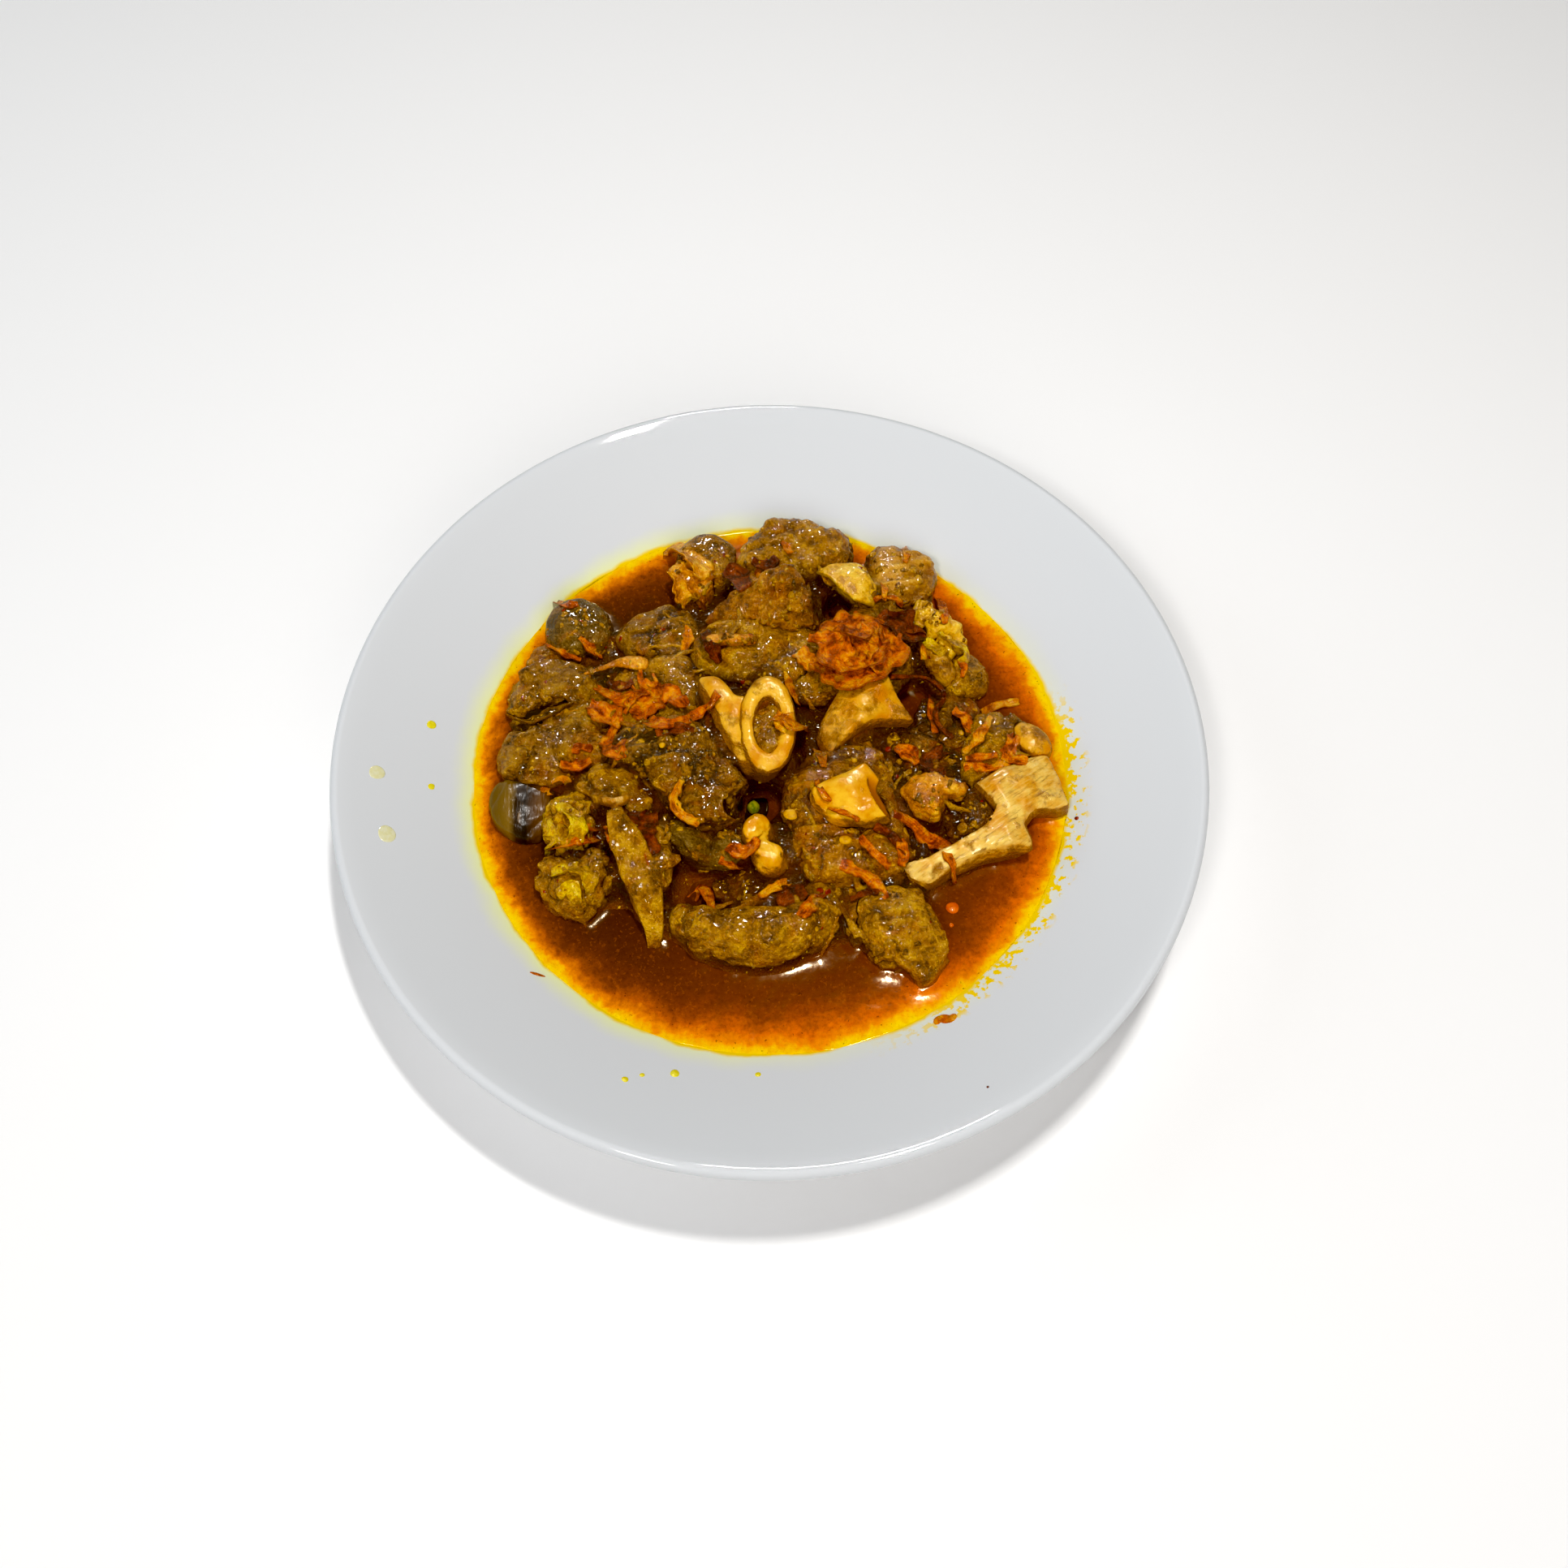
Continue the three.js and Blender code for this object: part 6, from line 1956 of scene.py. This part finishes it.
@dataclass(frozen=True)
class Scatter:
    """Repeats one small shape all over the heap, joined in one piece."""

    name: str
    finish: Enum
    count: int
    small: float
    large: float
    flat: float
    seed: int
    slot: str = "meat"
    reach: float = 78.0
    middle_y: float = 8.0
    lowest: float = 0.4

    def template(self) -> tuple[Points, list]:
        """One rough grain, a millimetre across.

        Returns:
            Its points, and its faces.
        """
        bm = bmesh.new()
        bmesh.ops.create_icosphere(bm, subdivisions=2, radius=0.5)
        points = np.array([vertex.co for vertex in bm.verts])
        faces = [[vertex.index for vertex in face.verts] for face in bm.faces]
        bm.free()
        return points, faces

    def build(self, tree: BVHTree) -> bpy.types.Object:
        """Drops the grains where the lines of sight meet the heap.

        Args:
            tree: the faces that they fall on.

        Returns:
            The joined piece.
        """
        draw = np.random.default_rng(self.seed)
        shape, faces = self.template()
        verts: list[Points] = []
        polygons: list[list[int]] = []
        start = Vector(EYE) * MM
        while len(verts) < self.count:
            x, y = draw.uniform(-self.reach, self.reach, 2)
            if math.hypot(x, y - self.middle_y) > self.reach:
                continue
            aim = Vector(np.array([x, y, GRAVY_TOP]) - EYE).normalized()
            hit, normal, _, _ = tree.ray_cast(start, aim)
            if hit is None or hit.z < (GRAVY_TOP + self.lowest) * MM:
                continue
            size = draw.uniform(self.small, self.large, 3) * np.array([1.0, 1.0, self.flat])
            spun = Matrix.Rotation(draw.uniform(0, math.tau), 3, "Z")
            stood = normal.to_track_quat("Z", "Y").to_matrix() @ spun
            rough = shape * size * (1 + 0.7 * Grain.smooth(shape + 9.0 * len(verts), 0.45, 1.0)[:, None])
            points = rough @ np.array(stood).T + np.array(hit) / MM - 0.25 * size[2] * np.array(normal)
            polygons.extend([index + len(verts) * len(shape) for index in face] for face in faces)
            verts.append(points)
        mesh = bpy.data.meshes.new(self.name)
        mesh.from_pydata((np.vstack(verts) * MM).tolist(), [], polygons)
        painted(mesh, "relief", np.repeat(draw.uniform(0.35, 0.8, self.count), len(shape)))
        return finished(self.name, mesh, self.finish.value)


CRUMBS = (
    Scatter("masala_clumps", Meat.OLIVE, 700, small=0.8, large=2.4, flat=0.4, seed=13),
    Scatter("masala_clumps_dark", Meat.SHADED, 600, small=0.8, large=2.6, flat=0.4, seed=14),
    Scatter("masala_grains", Bit.GRAIN, 260, small=0.3, large=0.6, flat=0.5, seed=11),
    Scatter("chilli_flakes", Bit.CHILLI, 50, small=0.7, large=1.9, flat=0.25, seed=12, slot="onion"),
)


@dataclass(frozen=True)
class Blob:
    """A small round thing: its place as seen or on the bowl, its size and how flat it is, in millimetres."""

    at: tuple[float, ...]
    size: float
    flat: float = 1.0
    stretch: float = 1.0
    turn: float = 0.0


@dataclass
class Blobs:
    """Small round things of one kind, joined in one piece."""

    name: str
    finish: Enum
    slot: str
    blobs: tuple[Blob, ...]
    on_bowl: bool = False

    def build(self, layer: Layer) -> bpy.types.Object:
        """Makes each round thing, slightly uneven, and sets it down.

        Args:
            layer: finds the heap under a line of sight.

        Returns:
            The joined piece.
        """
        bm = bmesh.new()
        for number, blob in enumerate(self.blobs):
            before = len(bm.verts)
            bmesh.ops.create_icosphere(bm, subdivisions=3, radius=blob.size / 2 * MM)
            bm.verts.ensure_lookup_table()
            fresh = bm.verts[before:]
            points = np.array([vertex.co for vertex in fresh]) / MM
            points *= 1 + 0.14 * Grain.smooth(points + 31 * number, blob.size * 0.6, 3.0 + number)[:, None]
            points *= np.array([blob.stretch, 1.0, blob.flat])
            spot, turn = self.spot(blob, layer)
            for vertex, point in zip(fresh, points @ turn.T + spot):
                vertex.co = Vector(point) * MM
        return finished(self.name, mesh_of(bm, self.name), self.finish.value)

    def spot(self, blob: Blob, layer: Layer) -> tuple[Points, Points]:
        """Where a round thing sits, and how it is turned there.

        Args:
            blob: the round thing.
            layer: finds the heap under a line of sight.

        Returns:
            Its place in millimetres, and its turn.
        """
        if self.on_bowl:
            radius, angle = blob.at[0], math.radians(blob.at[1])
            lean = (Matrix.Rotation(angle, 3, "Z") @ Matrix.Rotation(-SHAPE.flare, 3, "Y")
                    @ Matrix.Rotation(blob.turn, 3, "Z"))
            height = SHAPE.height_at(radius)
            return np.array([radius * math.cos(angle), radius * math.sin(angle), height]), np.array(lean)
        x, y = blob.at[:2]
        extra = blob.at[2] if len(blob.at) > 2 else 0.0
        return placed((x, y, layer.height(x, y) + extra)), np.eye(3)


SMALL_THINGS = (
    Blobs("seeds", Bit.SEED, "onion", (
        Blob((6, -14, 0.1), 3.4, 0.32, 1.2), Blob((21, -22, 0.1), 2.8, 0.32, 1.3),
        Blob((-31, 8, 0.3), 1.8, 0.5), Blob((24, 3, 0.3), 1.6, 0.5), Blob((55, 12, 0.3), 1.6, 0.5),
        Blob((-56, 12, 0.3), 1.6, 0.5),
    )),
    Blobs("oil_spots", Bit.OIL_DROP, "gravy", (
        Blob((49.7, -42.4, 0.1), 3.4, 0.25), Blob((49.1, -47.5, 0.1), 1.2, 0.3),
    )),
    # Pools of oil in a gap and a crease, painted near-black as shade.
    Blobs("oil_pool_painted_shade", Bit.OIL_POOL_IN_SHADE, "gravy", (
        Blob((-5, -12, -2.6), 9.5, 0.12), Blob((-67, 17.5, -0.3), 5.0, 0.2, 1.6),
        Blob((-58, 22.5, 0.0), 5.0, 0.2, 1.6),
    )),
    Blobs("bowl_drops", Bit.YELLOW_DROP, "gravy", (
        Blob((96.7, 173.5), 2.6, 0.14), Blob((94.6, -175.0), 2.0, 0.14), Blob((99.5, -111.3), 1.8, 0.14),
        Blob((96.6, -109.3), 1.4, 0.14), Blob((93.3, -104.8), 2.4, 0.14), Blob((90.0, -91.7), 1.6, 0.14),
    ), on_bowl=True),
    Blobs("bowl_drops_pale", Bit.PALE_DROP, "gravy", (
        Blob((108.2, -176.0), 4.2, 0.06), Blob((106.4, -165.9), 5.2, 0.05),
    ), on_bowl=True),
    Blobs("bowl_flecks", Bit.CHILLI, "onion", (
        Blob((86.9, -10.7), 1.2, 0.5), Blob((110.7, -60.6), 0.7, 0.4),
    ), on_bowl=True),
    Blobs("bowl_onion", Onion.CRISP, "onion", (
        Blob((87.7, -58.4), 3.0, 0.3, 1.3, 0.6), Blob((88.6, -57.6), 2.2, 0.4, 1.6, 1.8),
        Blob((86.9, -59.6), 2.0, 0.35, 1.5, -0.8), Blob((87.4, -134.5), 0.9, 0.5, 5.0, 2.2),
    ), on_bowl=True),
)


@dataclass(frozen=True)
class Lamp:
    """One light: where it hangs, where it points, its width and depth, its power and its colour.

    A soft light only brightens, and isn't mirrored in wet surfaces. A glint is only mirrored in them.
    """

    name: str
    at: Place
    aim: Place
    size: tuple[float, float]
    watts: float
    colour: Colour
    soft: bool = False
    glint: bool = False

    def hang(self) -> None:
        """Puts the light in the scene."""
        data = bpy.data.lights.new(self.name, "AREA")
        data.shape = "RECTANGLE"
        data.size, data.size_y = self.size[0] * MM, self.size[1] * MM
        data.energy = self.watts
        data.color = self.colour
        lamp = bpy.data.objects.new(self.name, data)
        lamp.location = Vector(self.at) * MM
        lamp.rotation_euler = (Vector(self.aim) - Vector(self.at)).to_track_quat("-Z", "Y").to_euler()
        lamp.visible_glossy = not self.soft
        lamp.visible_diffuse = not self.glint
        bpy.context.scene.collection.objects.link(lamp)


LAMPS = (
    Lamp("lamp", (120, 80, 1000), (0, 0, 30), (100, 45), 4.6, (1.0, 0.98, 0.95)),
    Lamp("key", (-380, -700, 1150), (0, 0, 30), (180, 180), 4.0, (1.0, 0.97, 0.94)),
    Lamp("room", (300, -1150, 950), (0, 0, 20), (1300, 900), 7.0, (1.0, 0.97, 0.95), soft=True),
    Lamp("back", (-60, 920, 770), (0, 0, 20), (160, 80), 7.0, (1.0, 1.0, 1.0), glint=True),
    Lamp("window", (-1150, 250, 720), (0, 0, 20), (900, 900), 3.7, (0.84, 0.92, 1.0), soft=True),
)


@dataclass
class Studio:
    """The camera, the soft lights and the pale floor."""

    stand: Place = (3.93, -209.08, 408.56)
    look_at: Place = (3.93, -13.65, 36.8)
    lens: float = 35.7
    sensor: float = 36.0
    floor_half: float = 900.0
    sky: float = 0.06
    pale: float = 0.8
    black: Colour = (0.005, 0.007, 0.012)
    floor_grey: float = 0.92
    floor_dull: float = 0.8
    sky_tint: Colour = (0.96, 0.98, 1.0)

    def build(self) -> None:
        """Sets up everything that isn't the object."""
        self.camera()
        self.floor()
        self.world()
        self.film()
        for lamp in LAMPS:
            lamp.hang()

    def camera(self) -> None:
        """Stands the camera where the photograph was taken from."""
        data = bpy.data.cameras.new("camera")
        data.sensor_width = self.sensor
        data.lens = self.lens
        camera = bpy.data.objects.new("camera", data)
        aim = Vector(self.look_at) - Vector(self.stand)
        camera.location = Vector(self.stand) * MM
        camera.rotation_euler = aim.to_track_quat("-Z", "Y").to_euler()
        bpy.context.scene.collection.objects.link(camera)
        bpy.context.scene.camera = camera

    def floor(self) -> None:
        """Lays the pale floor under the foot ring."""
        bm = bmesh.new()
        bmesh.ops.create_grid(bm, x_segments=2, y_segments=2, size=self.floor_half * MM)
        floor = shown("floor", mesh_of(bm, "floor"))
        surface = bpy.data.materials.new("floor_pale")
        surface.use_nodes = True
        shader = surface.node_tree.nodes["Principled BSDF"]
        shader.inputs["Base Color"].default_value = (self.floor_grey, self.floor_grey, self.floor_grey, 1)
        shader.inputs["Roughness"].default_value = self.floor_dull
        floor.data.materials.append(surface)

    def world(self) -> None:
        """Fills the room with even pale light."""
        world = bpy.data.worlds.new("room")
        world.use_nodes = True
        backdrop = world.node_tree.nodes["Background"]
        backdrop.inputs["Color"].default_value = (*self.sky_tint, 1)
        graph = Graph(world.node_tree)
        seen = graph.node("ShaderNodeLightPath").outputs["Is Camera Ray"]
        level = graph.node("ShaderNodeMapRange", {"Value": seen, "To Min": self.sky, "To Max": self.pale})
        world.node_tree.links.new(level.outputs["Result"], backdrop.inputs["Strength"])
        bpy.context.scene.world = world

    def film(self) -> None:
        """Sets how light becomes the picture's tones."""
        settings = bpy.context.scene.view_settings
        settings.view_transform = "Standard"
        settings.look = "Medium High Contrast"
        settings.use_curve_mapping = True
        settings.curve_mapping.black_level = self.black
        settings.curve_mapping.update()


def main() -> None:
    """Builds the bowl, the heap, the gravy and the onion, and reports each."""
    logging.basicConfig(level=logging.INFO, format="%(message)s")
    Studio().build()
    log.info("studio ready")
    Bowl().build()
    log.info("bowl turned")
    heap = Heap(CUTS)
    heap.build()
    log.info("heap of %d pieces", len(heap.pieces))
    Bed(heap).build()
    Pool(heap).build()
    log.info("bed and gravy poured")
    layer = Layer(heap.tree)
    for strands in STRANDS:
        strands.build(layer)
        log.info("%s: %d shreds", strands.name, len(strands.shreds))
    for drape in DRAPES:
        drape.build(layer)
    on_flesh = Layer(heap.flesh)
    Fibres("meat_fibres_olive", Meat.OLIVE, count=45, seed=21).build(on_flesh)
    Fibres("meat_fibres_brown", Meat.BROWN, count=35, seed=22).build(on_flesh)
    for grains in CRUMBS:
        grains.build(heap.flesh)
        log.info("%s: %d", grains.name, grains.count)
    for things in SMALL_THINGS:
        things.build(layer)
        log.info("%s: %d", things.name, len(things.blobs))


if __name__ == "__main__":
    main()
